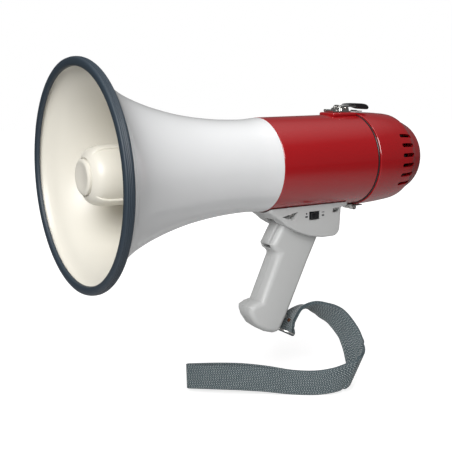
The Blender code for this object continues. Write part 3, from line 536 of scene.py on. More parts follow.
class MEGAPHONE_OT_finishes(bpy.types.Operator):
    """Make the finishes and give the carried-over pieces theirs"""
    bl_idname = "megaphone.finishes"
    bl_label = "Finishes"

    def execute(self, context):
        colours = context.scene.megaphone_colours
        FINISHES["horn"] = new_finish("gloss_white_horn", tuple(colours.horn), 0.22, 0.03, 400, 0.02,
                                      0.12,
                                      worn=(0.55, 0.55, 0.53), coat=0.3)
        FINISHES["inside"] = new_finish("cream_horn_inside", tuple(colours.horn_inside), 0.34, 0.05, 500,
                                        0.03,
                                        0.12, worn=(0.5, 0.48, 0.42))
        FINISHES["body"] = new_finish("gloss_red_body", tuple(colours.body), 0.2, 0.08, 500, 0.03, 0.14,
                                      worn=(0.5, 0.05, 0.06), coat=0.35)
        FINISHES["rim"] = new_finish("slate_rubber_guard", tuple(colours.rim), 0.5, 0.2, 1500, 0.15, 0.5,
                                     worn=(0.08, 0.1, 0.12))
        FINISHES["handle"] = new_finish("satin_grey_handle", tuple(colours.handle), 0.42, 0.06, 2200,
                                        0.12,
                                        0.25, worn=(0.33, 0.33, 0.31))
        FINISHES["black"] = new_finish("black_plastic_fittings", (0.012, 0.012, 0.014), 0.3, 0.2, 1500,
                                       0.08,
                                       0.4, worn=(0.08, 0.08, 0.08))
        FINISHES["chrome"] = new_finish("bright_latch_plate", (0.72, 0.71, 0.69), 0.2, 0.1, 900, 0.05,
                                        0.5,
                                        worn=(0.5, 0.49, 0.47), metallic=1.0)
        FINISHES["steel"] = new_finish("zinc_plated_steel", (0.5, 0.5, 0.48), 0.34, 0.2, 1600, 0.1, 0.6,
                                       worn=(0.3, 0.29, 0.27), metallic=1.0)
        FINISHES["bronze"] = new_finish("brown_rivet_metal", (0.18, 0.075, 0.04), 0.4, 0.3, 1600, 0.1,
                                        0.6,
                                        worn=(0.4, 0.2, 0.12), metallic=0.8)
        FINISHES["ferrite"] = new_finish("sintered_ferrite", (0.035, 0.035, 0.038), 0.6, 0.3, 2500, 0.3,
                                         0.2)
        FINISHES["copper"] = new_finish("copper_winding_wire", (0.62, 0.26, 0.11), 0.35, 0.2, 3000, 0.4,
                                        0.2,
                                        metallic=1.0)
        FINISHES["board"] = new_finish("green_circuit_board", (0.015, 0.13, 0.05), 0.4, 0.3, 1200, 0.2,
                                       0.2)
        FINISHES["cell"] = new_finish("cell_jacket_film", (0.10, 0.11, 0.13), 0.28, 0.15, 700, 0.05, 0.3)
        # The "print" finish is painted shade: a near-black colour standing in for the shade inside small
        # recessed holes beside the mode switch.
        FINISHES["print"] = new_finish("painted_hole_shade", (0.03, 0.03, 0.035), 0.5, 0.1, 2000, 0.05, 0.3,
                                       worn=(0.4, 0.4, 0.38))
        FINISHES["strap"] = new_webbing("herringbone_webbing", tuple(colours.strap), (0.55, 0.6, 0.6))
        carried = {
            "inside": ["throat_plate"],
            "black": ["driver_frame", "battery_carrier", "microswitch", "mode_switch_body",
                      "microphone_holder"],
            "copper": ["driver_diaphragm", "voice_coil"],
            "ferrite": ["driver_magnet"],
            "steel": ["driver_yoke", "microphone_capsule", "volume_pot", "trigger_pin", "trigger_spring",
                      "latch_spring"],
            "cell": [f"battery_cell_{number}" for number in range(1, 7)],
            "board": ["amplifier_board"],
        }
        for kind, names in carried.items():
            for name in names:
                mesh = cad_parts[name].data
                mesh.materials.clear()
                mesh.materials.append(FINISHES[kind])
        return {"FINISHED"}


# Horn

BELL_CURVE = [(194.2, 47.1), (172, 45.8), (140, 47.2), (106, 51.8), (76, 59.2), (52, 67.8), (34, 76.9),
              (20, 87.6), (12, 97.0), (6.0, 102.0)]


class MEGAPHONE_OT_bell(bpy.types.Operator):
    """Draw the flared bell with its white outside and cream inside"""
    bl_idname = "megaphone.bell"
    bl_label = "Bell"

    def execute(self, context):
        sides = context.scene.megaphone_sizes.horn_sides
        curve = pairs(smooth(BELL_CURVE, 5))
        inner = [(station, radius - 2.2) for station, radius in reversed(curve[:-3])]
        profile = [(206.5, 44.6), (194.2, 44.6), *curve, (3.2, 102.0), (3.2, 100.2), (5.4, 99.4), *inner,
                   (194.5, 42.4), (206.5, 42.4)]
        bell = turned("bell", profile, sides)
        finish(bell, "root", "white_plastic", "horn", "horn_bell")
        bell.data.materials.append(finish_named("inside"))
        middle = at(0, 0, 0)
        for face in bell.data.polygons:
            out = Vector((0, face.center.y - middle.y, face.center.z - middle.z))
            if face.normal.dot(out) < 0:
                face.material_index = 1
        return {"FINISHED"}


class MEGAPHONE_OT_rim_guard(bpy.types.Operator):
    """Draw the rubber channel round the mouth, with its fine ridges"""
    bl_idname = "megaphone.rim_guard"
    bl_label = "Rim Guard"

    def execute(self, context):
        sizes = context.scene.megaphone_sizes
        crown = [(8.7, 103.0), (8.3, 103.7), (7.6, 104.1)]
        steps = max(1, sizes.ridge_count * 6)
        for i in range(steps + 1):
            share = i / steps
            dip = sizes.ridge_depth * (0.5 - 0.5 * cos(2 * pi * sizes.ridge_count * share))
            crown.append((7.2 - 5.6 * share, RIM_R - 0.05 - 0.5 * abs(2 * share - 1) ** 3 - dip))
        crown += [(0.9, 104.2), (0.3, 103.5), (0.0, 102.6)]
        face = [(0.0, 98.8), (0.35, 98.0), (1.0, 97.2), (2.0, 96.7), (3.4, 96.5), (3.6, 98.2)]
        channel = [(2.6, 99.8), (2.6, 102.5), (6.6, 102.5)]
        guard = turned("rim_rubber_guard", crown + face + channel, sizes.horn_sides)
        finish(guard, "root", "rim_rubber", "rim", "rim_guard", angle=50)
        return {"FINISHED"}


class MEGAPHONE_OT_reflector(bpy.types.Operator):
    """Draw the round-nosed reflector cup on its three ribs, with its front cap"""
    bl_idname = "megaphone.reflector"
    bl_label = "Reflector"

    def execute(self, context):
        nose = pairs(smooth([(24, 27.3), (17, 25.6), (12.5, 22.6), (9.6, 18.4), (9.2, 17.4)], 4))
        inside = [(10.4, 16.9), (10.4, 4.0), (12.9, 4.0), (12.9, 17.0), (15.5, 21.0), (19, 23.4),
                  (25, 24.9),
                  (118, 24.9)]
        cup = turned("reflector_cup", [(118, 27.3), *nose, *inside], 72)
        rib = [(10.6, 19.4), (13.2, 24.0), (17.2, 27.3), (24, 29.2), (183.7, 29.2), (183.7, 25.6),
               (24, 25.6),
               (15, 21.8)]
        first = outlined("rib", rib, -3.3, 3.3)
        ease_edges(first, 1.0, 3, 60)
        for angle in (19, 139, 259):
            combine(cup, turn_about_axis(copy_of(first, "rib_copy"), angle), "UNION")
        bpy.data.objects.remove(first, do_unlink=True)
        finish(cup, "root", "white_plastic", "inside", "reflector")
        dish = [(6.9, 1.2), (6.8, 9.0), (6.2, 12.4), (6.1, 14.0), (6.6, 15.4), (7.3, 16.2), (8.4, 16.4),
                (10.1, 16.4)]
        cap = turned("reflector_front_cap", dish, 64, solid=True)
        finish(cap, "root", "white_plastic", "inside", "reflector_cap")
        return {"FINISHED"}


# Body and rear cover

COVER_CURVE = [(392, 20.0), (391.2, 27.0), (388.8, 32.0), (384.5, 35.8), (379, 38.5), (373, 41.0),
               (368.5, 43.4), (364.5, 45.6), (359, 46.9), (350, 47.8), (340, 48.6), (326, 49.3)]


class MEGAPHONE_OT_body(bpy.types.Operator):
    """Draw the red body tube with its latch pad, and the seal behind it"""
    bl_idname = "megaphone.body"
    bl_label = "Body"

    def execute(self, context):
        sides = context.scene.megaphone_sizes.horn_sides
        outer = [(313.6, 47.2), (313.2, 47.7), (195.1, 47.3), (194.5, 46.7)]
        inner = [(194.5, 44.9), (313.6, 45.3)]
        shell = turned("body_tube", outer + inner, sides)
        pad = block("pad", (281.5, -12, 45.9), (313.6, 12, 50.0), 1.6, 4)
        combine(shell, pad, "UNION")
        combine(shell, block("wiring_slot", (243, -8, -60), (259, 8, -40)))
        finish(shell, "root", "red_plastic", "body", "body_shell")
        lip = [(315.1, 48.0), (314.8, 48.3), (314.2, 48.3), (313.9, 48.0), (313.9, 45.9), (314.2, 45.6),
               (314.8, 45.6), (315.1, 45.9)]
        seal = turned("seal_ring", lip, sides)
        finish(seal, "root", "black_plastic", "black", "seal_gasket")
        return {"FINISHED"}


VENT_ANGLES = [57.5 + 13 * i for i in range(6)]
VENT_SPAN = (348.5, 368.5)


def vent_cutter(width):
    """The twelve rounded vents, six down each side, as one cutter."""
    half = width / 2
    only()
    bpy.ops.mesh.primitive_cylinder_add(vertices=24, radius=half * MM, depth=22 * MM,
                                        location=at(350.6, 0, 45))
    pin = settle("vent")
    edit(pin)
    shape = bmesh.from_edit_mesh(pin.data)
    for vert in shape.verts:
        vert.select_set(vert.co.x > at(350.7, 0, 0).x)
    shape.select_flush(True)
    bmesh.update_edit_mesh(pin.data)
    bpy.ops.transform.translate(value=((VENT_SPAN[1] - VENT_SPAN[0] - width) * MM, 0, 0))
    close_edit()
    vents = []
    for side in (-1, 1):
        for number, angle in enumerate(VENT_ANGLES):
            vents.append(turn_about_axis(copy_of(pin, f"vent_{side}_{number}"), -side * angle))
    bpy.data.objects.remove(pin, do_unlink=True)
    return join("vents", vents)


class MEGAPHONE_OT_rear_cover(bpy.types.Operator):
    """Draw the domed rear cover with its vents and its knob well, and the volume knob"""
    bl_idname = "megaphone.rear_cover"
    bl_label = "Rear Cover"

    def execute(self, context):
        sizes = context.scene.megaphone_sizes
        curve = pairs(smooth(COVER_CURVE, 4))
        front = [(316.2, 49.4), (315.6, 48.9), (315.6, 46.8), (340, 46.0), (355, 44.6), (365, 42.2),
                 (371, 39.4), (380.5, 35.2), (386.0, 29.0), (388.5, 18.6), (380.8, 17.4), (380.8,
                                                                                           5.0), (383.0,
                                                                                                  5.0),
                 (383.0, 15.0), (391.4, 15.0), (392, 15.6)]
        cover = turned("domed_rear_cover", curve + front, sizes.horn_sides)
        combine(cover, vent_cutter(sizes.vent_width))
        finish(cover, "rear_cover", "red_plastic", "body", "rear_cover")
        knob_curve = [(383.5, 11.2), (390.2, 10.7), (391.0, 10.2), (391.5, 9.2), (391.5, 7.0),
                      (391.0, 6.4),
                      (391.0, 1.0)]
        socket = [(390.0, 1.0), (390.0, 3.3), (383.5, 3.3)]
        knob = turned("volume_dial", knob_curve + socket, 72)
        groove = rod("groove", (382, 0, 11.9), (393, 0, 11.9), 1.0, 12)
        flutes = [turn_about_axis(copy_of(groove, f"groove_{i}"), i * 20) for i in range(18)]
        bpy.data.objects.remove(groove, do_unlink=True)
        combine(knob, join("flutes", flutes))
        finish(knob, "volume_knob", "black_plastic", "black", "volume_knob")
        return {"FINISHED"}


# Handle

BOX_OUTLINE = [(195, -36), (195, -46.5), (208, -55), (214, -60), (229, -68.5), (246, -74.6),
               (262, -77.5), *arc((276, -68.5), 9.0, -90, -8, 9), (286.2, -47.5), (294.5, -47), (294.5,
                                                                                                 -36)]
GRIP_OUTLINE = [(216, -52), (217.5, -62), (208.4, -77), (205.4, -81.5), (207.6, -86.5), (214.5, -91.5),
                (193, -139), (185.5, -140.2), (179, -143.4), (178.6, -148), (181, -155), (187.5, -164.5),
                (198, -171.8), (208, -175), (216, -175), (226, -157), (252, -103), (265, -78), (268, -60)]
BOX_HOLLOW = [(206, -38), (206, -49), (216, -57.5), (230, -65.5), (247, -71.8), (262, -74.6),
              (276, -74.6), (282.5, -68), (283, -50), (283, -38)]
GRIP_HOLLOW = [(222, -56), (222, -64), (213.5, -78), (217.5, -91), (197.5, -137), (185, -146),
               (190.5, -160), (200, -168.3), (212, -171.6), (222.5, -156), (248.5, -102), (261, -78),
               (261, -64), (240, -60)]
BOX_HALF = 23.0
GRIP_HALF = 13.5
WALL = 2.6
GRIP_TOP = -70
SCREW_SINK = 2.2
TRIGGER_PIVOT = (222.5, -61)
TRIGGER_SLOT = [(219, -49), (190, -70), (190, -85.7), (214, -85.7), (221, -72), (229, -64), (229, -56)]
TAPER_ANGLE = 31
HOUSING_SCREWS = [(222.5, -19.0, -49.8), (222.5, 19.0, -49.8), (279.5, -19.5, -47.9),
                  (279.5, 19.5, -47.9)]
GRIP_SCREWS = [(237, -104), (200, -157), (264, -69)]
POCKETS = [[(209.5, -51.4), (229.5, -47.6), (224.5, -57.0)],
           [(274.5, -47.6), (283.8, -47.6), (283.8, -52.4), (274.5, -52.4)]]


def side_at(height):
    """How far out the handle's side is at a grip screw's height."""
    return BOX_HALF if height > GRIP_TOP else GRIP_HALF


def widened(outline, amount):
    middle = sum((Vector(p) for p in outline), Vector((0, 0))) / len(outline)
    arms = [Vector(p) - middle for p in outline]
    return [tuple(middle + arm * (1 + 1.4 * amount / arm.length)) for arm in arms]


def handle_half(name, side):
    """One half of the switch housing and the grip. side is -1 for the near half."""
    half = outlined(name, BOX_OUTLINE, -BOX_HALF, BOX_HALF)
    ease_edges(half, 2.0, 4, 50)
    grip = outlined("grip", GRIP_OUTLINE, -GRIP_HALF, GRIP_HALF)
    ease_edges(grip, 6.0, 7, 60)
    combine(half, grip, "UNION")
    combine(half, outlined("box_hollow", BOX_HOLLOW, WALL - BOX_HALF, BOX_HALF - WALL))
    bore = outlined("grip_hollow", GRIP_HOLLOW, WALL - GRIP_HALF, GRIP_HALF - WALL)
    combine(half, ease_edges(bore, 4, 1, 60))
    combine(half, rod("saddle", (150, 0, 0), (340, 0, 0), 48.3, 128))
    for front_side in (-1, 1):
        low, high = sorted((0, front_side * 30))
        wedge = block("taper", (-40, low, -80), (0, high, -30))
        place = Matrix.Translation(at(219, front_side * BOX_HALF, 0))
        lean = Matrix.Rotation(radians(-front_side * TAPER_ANGLE), 4, "Z")
        wedge.data.transform(place @ lean @ Matrix.Translation(-at(0, 0, 0)))
        combine(half, wedge)
    combine(half, outlined("trigger_slot", TRIGGER_SLOT, -7.0, 7.0))
    for outline in POCKETS:
        low, high = sorted((side * (BOX_HALF - 1), side * (BOX_HALF - 9.6)))
        combine(half, outlined("backing", widened(outline, 1.6), low, high), "UNION")
        low, high = sorted((side * 26.0, side * (BOX_HALF - 8.0)))
        combine(half, outlined("pocket", rounded(outline, 1.2), low, high))
    for station, place, _ in HOUSING_SCREWS:
        if place * side > 0:
            combine(half, rod("hole", (station, place, -51), (station, place, -36), 1.9, 20))
    for station, height in GRIP_SCREWS:
        face = side_at(height)
        combine(half, crossbar("boss", (station, height), 1 - face, face - 1, 4.0, 24), "UNION")
        combine(half, crossbar("bore", (station, height), -8, 30, 1.7, 20))
        combine(half, crossbar("sink", (station, height), face - SCREW_SINK, 30, 3.4, 28))
    combine(half, crossbar("pivot_boss", TRIGGER_PIVOT, side * 10.2, side * 22, 3.4, 24), "UNION")
    combine(half, crossbar("pivot_bore", TRIGGER_PIVOT, -15.2, 15.2, 1.7, 20))
    if side < 0:
        combine(half, block("window", (243.6, -30, -57.6), (257.4, -17, -48.8)))
    keep = ((150, 0.15, -200), (340, 60, 0)) if side > 0 else ((150, -60, -200), (340, -0.15, 0))
    combine(half, block("keep", *keep), "INTERSECT")
    return half


class MEGAPHONE_OT_handle(bpy.types.Operator):
    """Draw the two halves of the switch housing and grip"""
    bl_idname = "megaphone.handle"
    bl_label = "Handle"

    def execute(self, context):
        for name, node_name, side in (("near_handle_half", "handle_left", -1),
                                      ("far_handle_half", "handle_right", 1)):
            half = handle_half(name, side)
            finish(half, "root", "grey_plastic", "handle", node_name)
        return {"FINISHED"}


class MEGAPHONE_OT_trigger(bpy.types.Operator):
    """Draw the trigger blade"""
    bl_idname = "megaphone.trigger"
    bl_label = "Trigger"

    def execute(self, context):
        outline = [(219.0, -56.2), (212.5, -64.5), (206.0, -75.4), (204.4, -79.0), (205.4, -82.2),
                   (207.6, -82.9), (210.2, -81.0), (214.5, -73.5), (221.5, -66.0), (227.0, -62.5),
                   (227.0, -57.5), (224.0, -55.6)]
        blade = outlined("trigger_blade", rounded(outline, 1.4, 3), -6.4, 6.4)
        ease_edges(blade, 0.9, 3, 60)
        combine(blade, crossbar("bore", TRIGGER_PIVOT, -9, 9, 1.75, 20))
        finish(blade, "trigger", "grey_plastic", "handle", "trigger")
        return {"FINISHED"}


class MEGAPHONE_OT_switch(bpy.types.Operator):
    """Draw the mode switch's knob, and the dark marks beside it: painted shade standing in for small
    recessed holes
    """
    bl_idname = "megaphone.switch"
    bl_label = "Mode Switch"

    def execute(self, context):
        knob = block("mode_switch_slider", (244.8, -25.4, -56.0), (250.6, -22.5, -50.4), 0.5)
        for station in (246.4, 247.7, 249.0):
            combine(knob, block("notch", (station - 0.3, -26, -57), (station + 0.3, -25.0, -49)))
        finish(knob, "mode_switch", "black_plastic", "black", "mode_switch_knob")
        # Painted shade: flat near-black marks stand in for the shade inside small recessed holes beside
        # the switch.
        marks = [block("hole_shade_mark", (238.6, -23.12, -54.6), (241.6, -22.9, -53.0), 0.05, 1),
                 block("hole_shade_mark", (260.0, -23.12, -54.6), (263.0, -22.9, -53.0), 0.05, 1),
                 crossbar("hole_shade_mark", (240.1, -50.6), -23.12, -22.9, 0.9, 24, bevel=0.05),
                 block("hole_shade_mark", (259.8, -23.12, -50.9), (263.2, -22.9, -50.2), 0.05, 1)]
        finish(join("painted_hole_shade_marks", marks), "root", "black_plastic", "print")
        return {"FINISHED"}


class MEGAPHONE_OT_screws(bpy.types.Operator):
    """Draw the housing and grip screws with their cross recesses"""
    bl_idname = "megaphone.screws"
    bl_label = "Screws"

    def execute(self, context):
        for number, (station, side, top) in enumerate(HOUSING_SCREWS, 1):
            screw = rod(f"housing_screw_head_{number}", (station, side, top - 1.8), (station, side, top),
                        3.0,
                        32, bevel=0.5)
            combine(screw, rod("shank", (station, side, top - 0.5), (station, side, -38.5), 1.5, 20),
                    "UNION")
            for x, y in ((1.7, 0.35), (0.35, 1.7)):
                combine(screw,
                        block("recess", (station - x, side - y, top - 3),
                              (station + x, side + y, top - 1.0)))
            finish(screw, "root", "steel", "steel", f"housing_screw_{number}")
        for number, (station, height) in enumerate(GRIP_SCREWS, 1):
            floor = side_at(height) - SCREW_SINK
            screw = crossbar(f"grip_screw_head_{number}", (station, height), floor + 0.3, floor + 1.9,
                        3.0, 32, bevel=0.5)
            combine(screw, crossbar("shank", (station, height), -7, floor + 0.6, 1.4, 20), "UNION")
            for x, z in ((1.7, 0.35), (0.35, 1.7)):
                combine(screw, block("recess", (station - x, floor + 1.1, height - z),
                                     (station + x, floor + 3, height + z)))
            finish(screw, "root", "steel", "steel", f"grip_screw_{number}")
        return {"FINISHED"}


# Latch and hinge

LATCH_PIVOT = (301, 54.6)
HINGE_PIVOT = (316.6, -52.3)

class MEGAPHONE_OT_latch(bpy.types.Operator):
    """Draw the over-centre latch on top of the seam"""
    bl_idname = "megaphone.latch"
    bl_label = "Latch"

    def execute(self, context):
        base = block("latch_plate", (284.5, -7.5, 50.3), (309, 7.5, 51.3), 0.3, 2)
        ear_outline = rounded([(295.5, 50.6), (306.5, 50.6), (305.2, 55.5), (303.2, 57.4), (298.8, 57.4),
                               (296.8, 55.5)], 1.2)
        for side in (-1, 1):
            low, high = sorted((side * 6.4, side * 7.5))
            combine(base, outlined("ear", ear_outline, low, high), "UNION")
        channel = [(292.5, 50.8), (292.5, 53.0), *arc((294.1, 53.0), 1.6, 180, 90, 5), (296.6, 54.6),
                   (296.6, 50.8)]
        combine(base, outlined("channel", channel, -5.6, 5.6), "UNION")
        combine(base, crossbar("curl", (285.5, 51.9), -7.5, 7.5, 1.4, 28), "UNION")
        for low, high in ((-4.4, -3.2), (3.2, 4.4)):
            combine(base, block("curl_gap", (283, low, 51.4), (287.2, high, 54)))
        combine(base, crossbar("bore", LATCH_PIVOT, -9, 9, 1.35, 20))
        finish(base, "root", "chrome", "chrome", "latch_base")
        pin = crossbar("latch_pivot_pin", LATCH_PIVOT, -8.6, 8.6, 1.05, 24, bevel=0.3)
        finish(pin, "root", "chrome", "chrome", "latch_pin")
        rivet = rod("latch_rivet_head", (289.6, 0, 51.6), (289.6, 0, 52.7), 2.4, 32, 1.5, bevel=0.4)
        finish(rivet, "root", "chrome", "chrome", "latch_rivet")
        arm = [(298.4, 53.4), (298.2, 55.6), (299.6, 57.2), (304.5, 57.0), (318, 56.6), (318, 55.4),
               (305.5, 55.2), (303.6, 53.0), (301.0, 51.9), (299.2, 52.4)]
        lever = outlined("latch_lever", rounded(arm, 0.5, 3), -6.0, 6.0)
        combine(lever, crossbar("bore", LATCH_PIVOT, -7, 7, 1.35, 20))
        combine(lever, block("fork", (295, -3.2, 50), (304, 3.2, 60)))
        finish(lever, "latch", "chrome", "chrome", "latch_arm")
        outline = pairs(smooth([(307.5, 57.3), (311, 58.6), (322, 58.9), (330, 57.8), (333.4, 55.6),
                                (333.8, 53.6), (331.6, 52.4), (326.5, 53.0), (320, 54.8)], 4))
        thumb = outlined("latch_thumb_piece", outline + [(318.3, 55.0), (318.3, 56.9)], -7.2, 7.2)
        ease_edges(thumb, 1.0, 3, 50)
        finish(thumb, "latch", "black_plastic", "black", "latch_grip")
        keeper = block("latch_keeper_plate", (318.5, -5.5, 50.0), (326.5, 5.5, 51.0), 0.3, 2)
        hook = outlined("hook", [(318.5, 50.4), (321.0, 50.4), (320.4, 51.8), (318.5, 52.0)], -4.0, 4.0)
        combine(keeper, hook, "UNION")
        finish(keeper, "rear_cover", "chrome", "chrome", "latch_keeper")
        return {"FINISHED"}


class MEGAPHONE_OT_hinge(bpy.types.Operator):
    """Draw the butt hinge under the seam"""
    bl_idname = "megaphone.hinge"
    bl_label = "Hinge"

    def execute(self, context):
        bent = [(297, -48.3), (312.2, -48.3), (315.2, -50.1), HINGE_PIVOT, (314.4, -52.8), (313.2, -50.8),
                (311.8, -49.4), (297, -49.4)]
        front = outlined("hinge_front_plate", bent, -8.5, 8.5)
        rear = block("hinge_rear_plate", (317.5, -8.5, -50.9), (328, 8.5, -49.9), 0.25, 2)
        for side in (-1, 1):
            low, high = sorted((side * 3.4, side * 8.5))
            combine(front, crossbar("knuckle", HINGE_PIVOT, low, high, 2.5, 32), "UNION")
        combine(front, block("relief", (313.6, -3.4, -60), (330, 3.4, -40)))
        combine(rear, crossbar("knuckle", HINGE_PIVOT, -3.0, 3.0, 2.5, 32), "UNION")
        for side in (-1, 1):
            low, high = sorted((side * 3.0, side * 12.0))
            combine(rear, block("relief", (310, low, -60), (319.6, high, -40)))
        for leaf in (front, rear):
            combine(leaf, crossbar("bore", HINGE_PIVOT, -10, 10, 1.3, 20))
        finish(front, "root", "chrome", "chrome", "hinge_front_leaf")
        finish(rear, "rear_cover", "chrome", "chrome", "hinge_rear_leaf")
        pin = crossbar("hinge_pivot_pin", HINGE_PIVOT, -9.3, 9.3, 1.0, 24, bevel=0.3)
        finish(pin, "root", "chrome", "chrome", "hinge_pin")
        head = rod("hinge_front_rivet", (304, 0, -51.2), (304, 0, -49.9), 1.4, 32, 2.4, bevel=0.3)
        finish(head, "root", "chrome", "chrome", "hinge_rivet_front")
        head = rod("hinge_rear_rivet", (324.2, 0, -52.4), (324.2, 0, -51.2), 1.4, 32, 2.4, bevel=0.3)
        finish(head, "rear_cover", "chrome", "chrome", "hinge_rivet_rear")
        return {"FINISHED"}


# Wrist strap

STRAP_BAR = (233.0, -179.5)
STRAP_EYE = (221.7, -174.2)
STRAP_WIDTH = 25.4
STRAP_THICK = 1.4
STRAP_TURN = 32.0
# Places along the strap in its own upright plane, from the ring's bar: along, up, out towards the near
# side, and the turn in degrees of its width out of that plane.
STRAP_ROUTE = [(0.0, 0.0, 0.0, 122), (0.8, 7.5, 0.0, 118), (5.5, 15.5, -0.3, 104), (16.3, 25.4, 1.5, 80),
               (27.6, 26.8, 4.4, 54), (37.8, 24.7, 7.9, 40), (51.1, 18.9, 12.1, 28), (62.6, 5.4, 17.6,
                                                                                      30),
               (67.8, -6.4, 23.2, 33)]
# The roll where it turns over: its middle, radius, axis, crossing angle, and the angles that it spans.
ROLL_MIDDLE = (71.0, -26.6, 35.0)
ROLL_R = 8.0
ROLL_AXIS = -112.0
ROLL_CROSSING = 46.7
ROLL_SPAN = (45.0, 160.0)
SKEW_LENGTH = 20.0
# From the roll to the far end of the loop: along, up, out, and half the gap between the two layers.
STRAP_RUN = [(46.5, -38.6, 44.2, 1.0), (26.6, -41.4, 44.5, 1.0), (2.1, -41.0, 43.2, 1.3),
             (-23.4, -38.1, 41.5, 3.5), (-49.0, -36.4, 39.9, 5.0), (-74.6, -36.4, 37.8, 4.4),
             (-102.0, -37.0, 35.8, 2.2)]


def in_plane(angle):
    return Vector((cos(radians(angle)), sin(radians(angle)), 0))


def roll_place(angle):
    """(place, direction along, direction across) where the strap lies at an angle round its roll."""
    axis, side, out = in_plane(ROLL_AXIS), in_plane(ROLL_AXIS + 90), Vector((0, 0, 1))
    crossing, turn = radians(ROLL_CROSSING), radians(angle)
    place = (Vector(ROLL_MIDDLE) + axis * ROLL_R * (turn - pi / 2) / tan(crossing)
             + side * ROLL_R * (sin(turn) - 1) - out * ROLL_R * cos(turn))
    round_way = side * cos(turn) + out * sin(turn)
    along = axis * cos(crossing) + round_way * sin(crossing)
    return place, along, round_way * cos(crossing) - axis * sin(crossing)


def strap_station(place, along, across, half, lean=1.0):
    """One station of the strap: its place, the vector to its edge, and half the gap of its layers."""
    skew = along * lean / tan(radians(ROLL_CROSSING))
    return place, (across - skew) * STRAP_WIDTH / 2, half


def headings(points):
    """The direction along a row of points, at each of them."""
    ends = [points[0]] + points + [points[-1]]
    return [Vector((after - before)[:3]).normalized() for before, after in zip(ends, ends[2:])]


def strap_stations(steps):
    """The stations along the doubled strap, in the strap's own plane."""
    begin, end = ROLL_SPAN
    arc_end, _, arc_across = roll_place(begin)
    run_start, _, run_across = roll_place(end)
    route = smooth(STRAP_ROUTE + [(*arc_end, STRAP_ROUTE[-1][3])], steps)
    stations = []
    for i, (point, along) in enumerate(zip(route, headings(route))):
        place = Vector(point[:3])
        flat = Vector((0, 0, 1)).cross(along).normalized()
        turn = radians(point[3])
        lean = max(0.0, 1 - (arc_end - place).length / SKEW_LENGTH)
        across = (flat * cos(turn) + along.cross(flat) * sin(turn)).lerp(arc_across, lean).normalized()
        half = 1.0
        if i < steps:
            level = Vector((sin(radians(STRAP_TURN)), 0, cos(radians(STRAP_TURN))))
            across = level.lerp(across, i / steps)
            half = 2.05 - 1.05 * i / steps
        stations.append(strap_station(place, along, across.normalized(), half, lean))
    for i in range(1, 2 * steps):
        stations.append(strap_station(*roll_place(begin + (end - begin) * i / (2 * steps)), 1.0))
    run = smooth([(*run_start, 1.0)] + STRAP_RUN, steps)
    for point, along in zip(run, headings(run)):
        place = Vector(point[:3])
        lean = max(0.0, 1 - (run_start - place).length / SKEW_LENGTH)
        upright = Vector((along[1], -along[0], 0)).lerp(run_across, lean).normalized()
        stations.append(strap_station(place, along, upright, point[3], lean))
    return stations


def strap_turn(start, end, ahead, count=9):
    """The half circle that joins the two layers at an end of the loop."""
    middle = (start[0] + end[0]) / 2
    arm = start[0] - middle
    turns = [pi * i / (count + 1) for i in range(1, count + 1)]
    return [(middle + arm * cos(a) + ahead * arm.length * sin(a), start[1]) for a in turns]


def strap_layers(steps):
    """The two layers of the strap as rows of (place, edge), and the directions along them."""
    stations = strap_stations(steps)
    ways = headings([station[0] for station in stations])
    out, back = [], []
    for (place, edge, half), along in zip(stations, ways):
        face = along.cross(edge).normalized()
        out.append((place + face * half, edge))
        back.append((place - face * half, edge))
    return out, back, ways


def to_row(place):
    """From the strap's plane to the row's frame, in metres."""
    turn = radians(STRAP_TURN)
    along = Vector((cos(turn), -sin(turn), 0))
    out = Vector((-sin(turn), -cos(turn), 0))
    return at(STRAP_BAR[0], 0, STRAP_BAR[1]) + (along * place[0] + Vector((0, 0, 1)) * place[1]
                                                + out * place[2]) * MM


def woven_band(name, rows, across=8):
    """A closed woven loop through rows of (place, edge), with a UV map in metres across and along it."""
    shape = bmesh.new()
    uv = shape.loops.layers.uv.new("band")
    shares = [1 - 2 * i / across for i in range(across + 1)]
    far = 0.0
    length = [0.0]
    for (a, _), (b, _) in zip(rows, rows[1:] + rows[:1]):
        far += (b - a).length * MM
        length.append(far)
    grid = [[shape.verts.new(to_row(place + edge * share)) for share in shares] for place, edge in rows]
    for k, (near, next_near) in enumerate(zip(grid, grid[1:] + grid[:1])):
        for i in range(across):
            face = shape.faces.new((near[i], near[i + 1], next_near[i + 1], next_near[i]))
            spots = ((i, k), (i + 1, k), (i + 1, k + 1), (i, k + 1))
            for corner, (column, row) in zip(face.loops, spots):
                corner[uv].uv = (STRAP_WIDTH * MM * column / across, length[row])
    mesh = bpy.data.meshes.new(name)
    shape.to_mesh(mesh)
    shape.free()
    band = bpy.data.objects.new(name, mesh)
    bpy.context.scene.collection.objects.link(band)
    return band, far


class MEGAPHONE_OT_strap(bpy.types.Operator):
    """Weave the wrist strap as one closed loop, and set its two rivets"""
    bl_idname = "megaphone.strap"
    bl_label = "Wrist Strap"

    def execute(self, context):
        steps = context.scene.megaphone_sizes.strap_steps
        out, back, ways = strap_layers(steps)
        loop = out + strap_turn(out[-1], back[-1], ways[-1])
        loop += list(reversed(back)) + strap_turn(back[0], out[0], -ways[0])
        band, length = woven_band("wrist_strap_webbing", loop)
        modify(band, "SOLIDIFY", thickness=STRAP_THICK * MM, offset=0)
        ease_edges(band, 0.35, 2, 60)
        finish(band, "strap", "webbing", "strap", "wrist_strap", angle=50)
        stations = strap_stations(3)
        for name, shift, kind, slot, cad in (("rivet_brown", 4.5, "bronze", "copper", "strap_rivet_1"),
                                             ("rivet_bright", -4.5, "steel", "steel", "strap_rivet_2")):
            place, edge, half = stations[5]
            face = (stations[6][0] - stations[4][0]).cross(edge).normalized()
            base = place + edge.normalized() * shift - face * (half + STRAP_THICK / 2 + 0.3)
            head = rivet_head(name, to_row(base), to_row(base - face * 1.7))
            finish(head, "strap", slot, kind, cad)
        print(f"strap loop length {length:.4f} m")
        return {"FINISHED"}


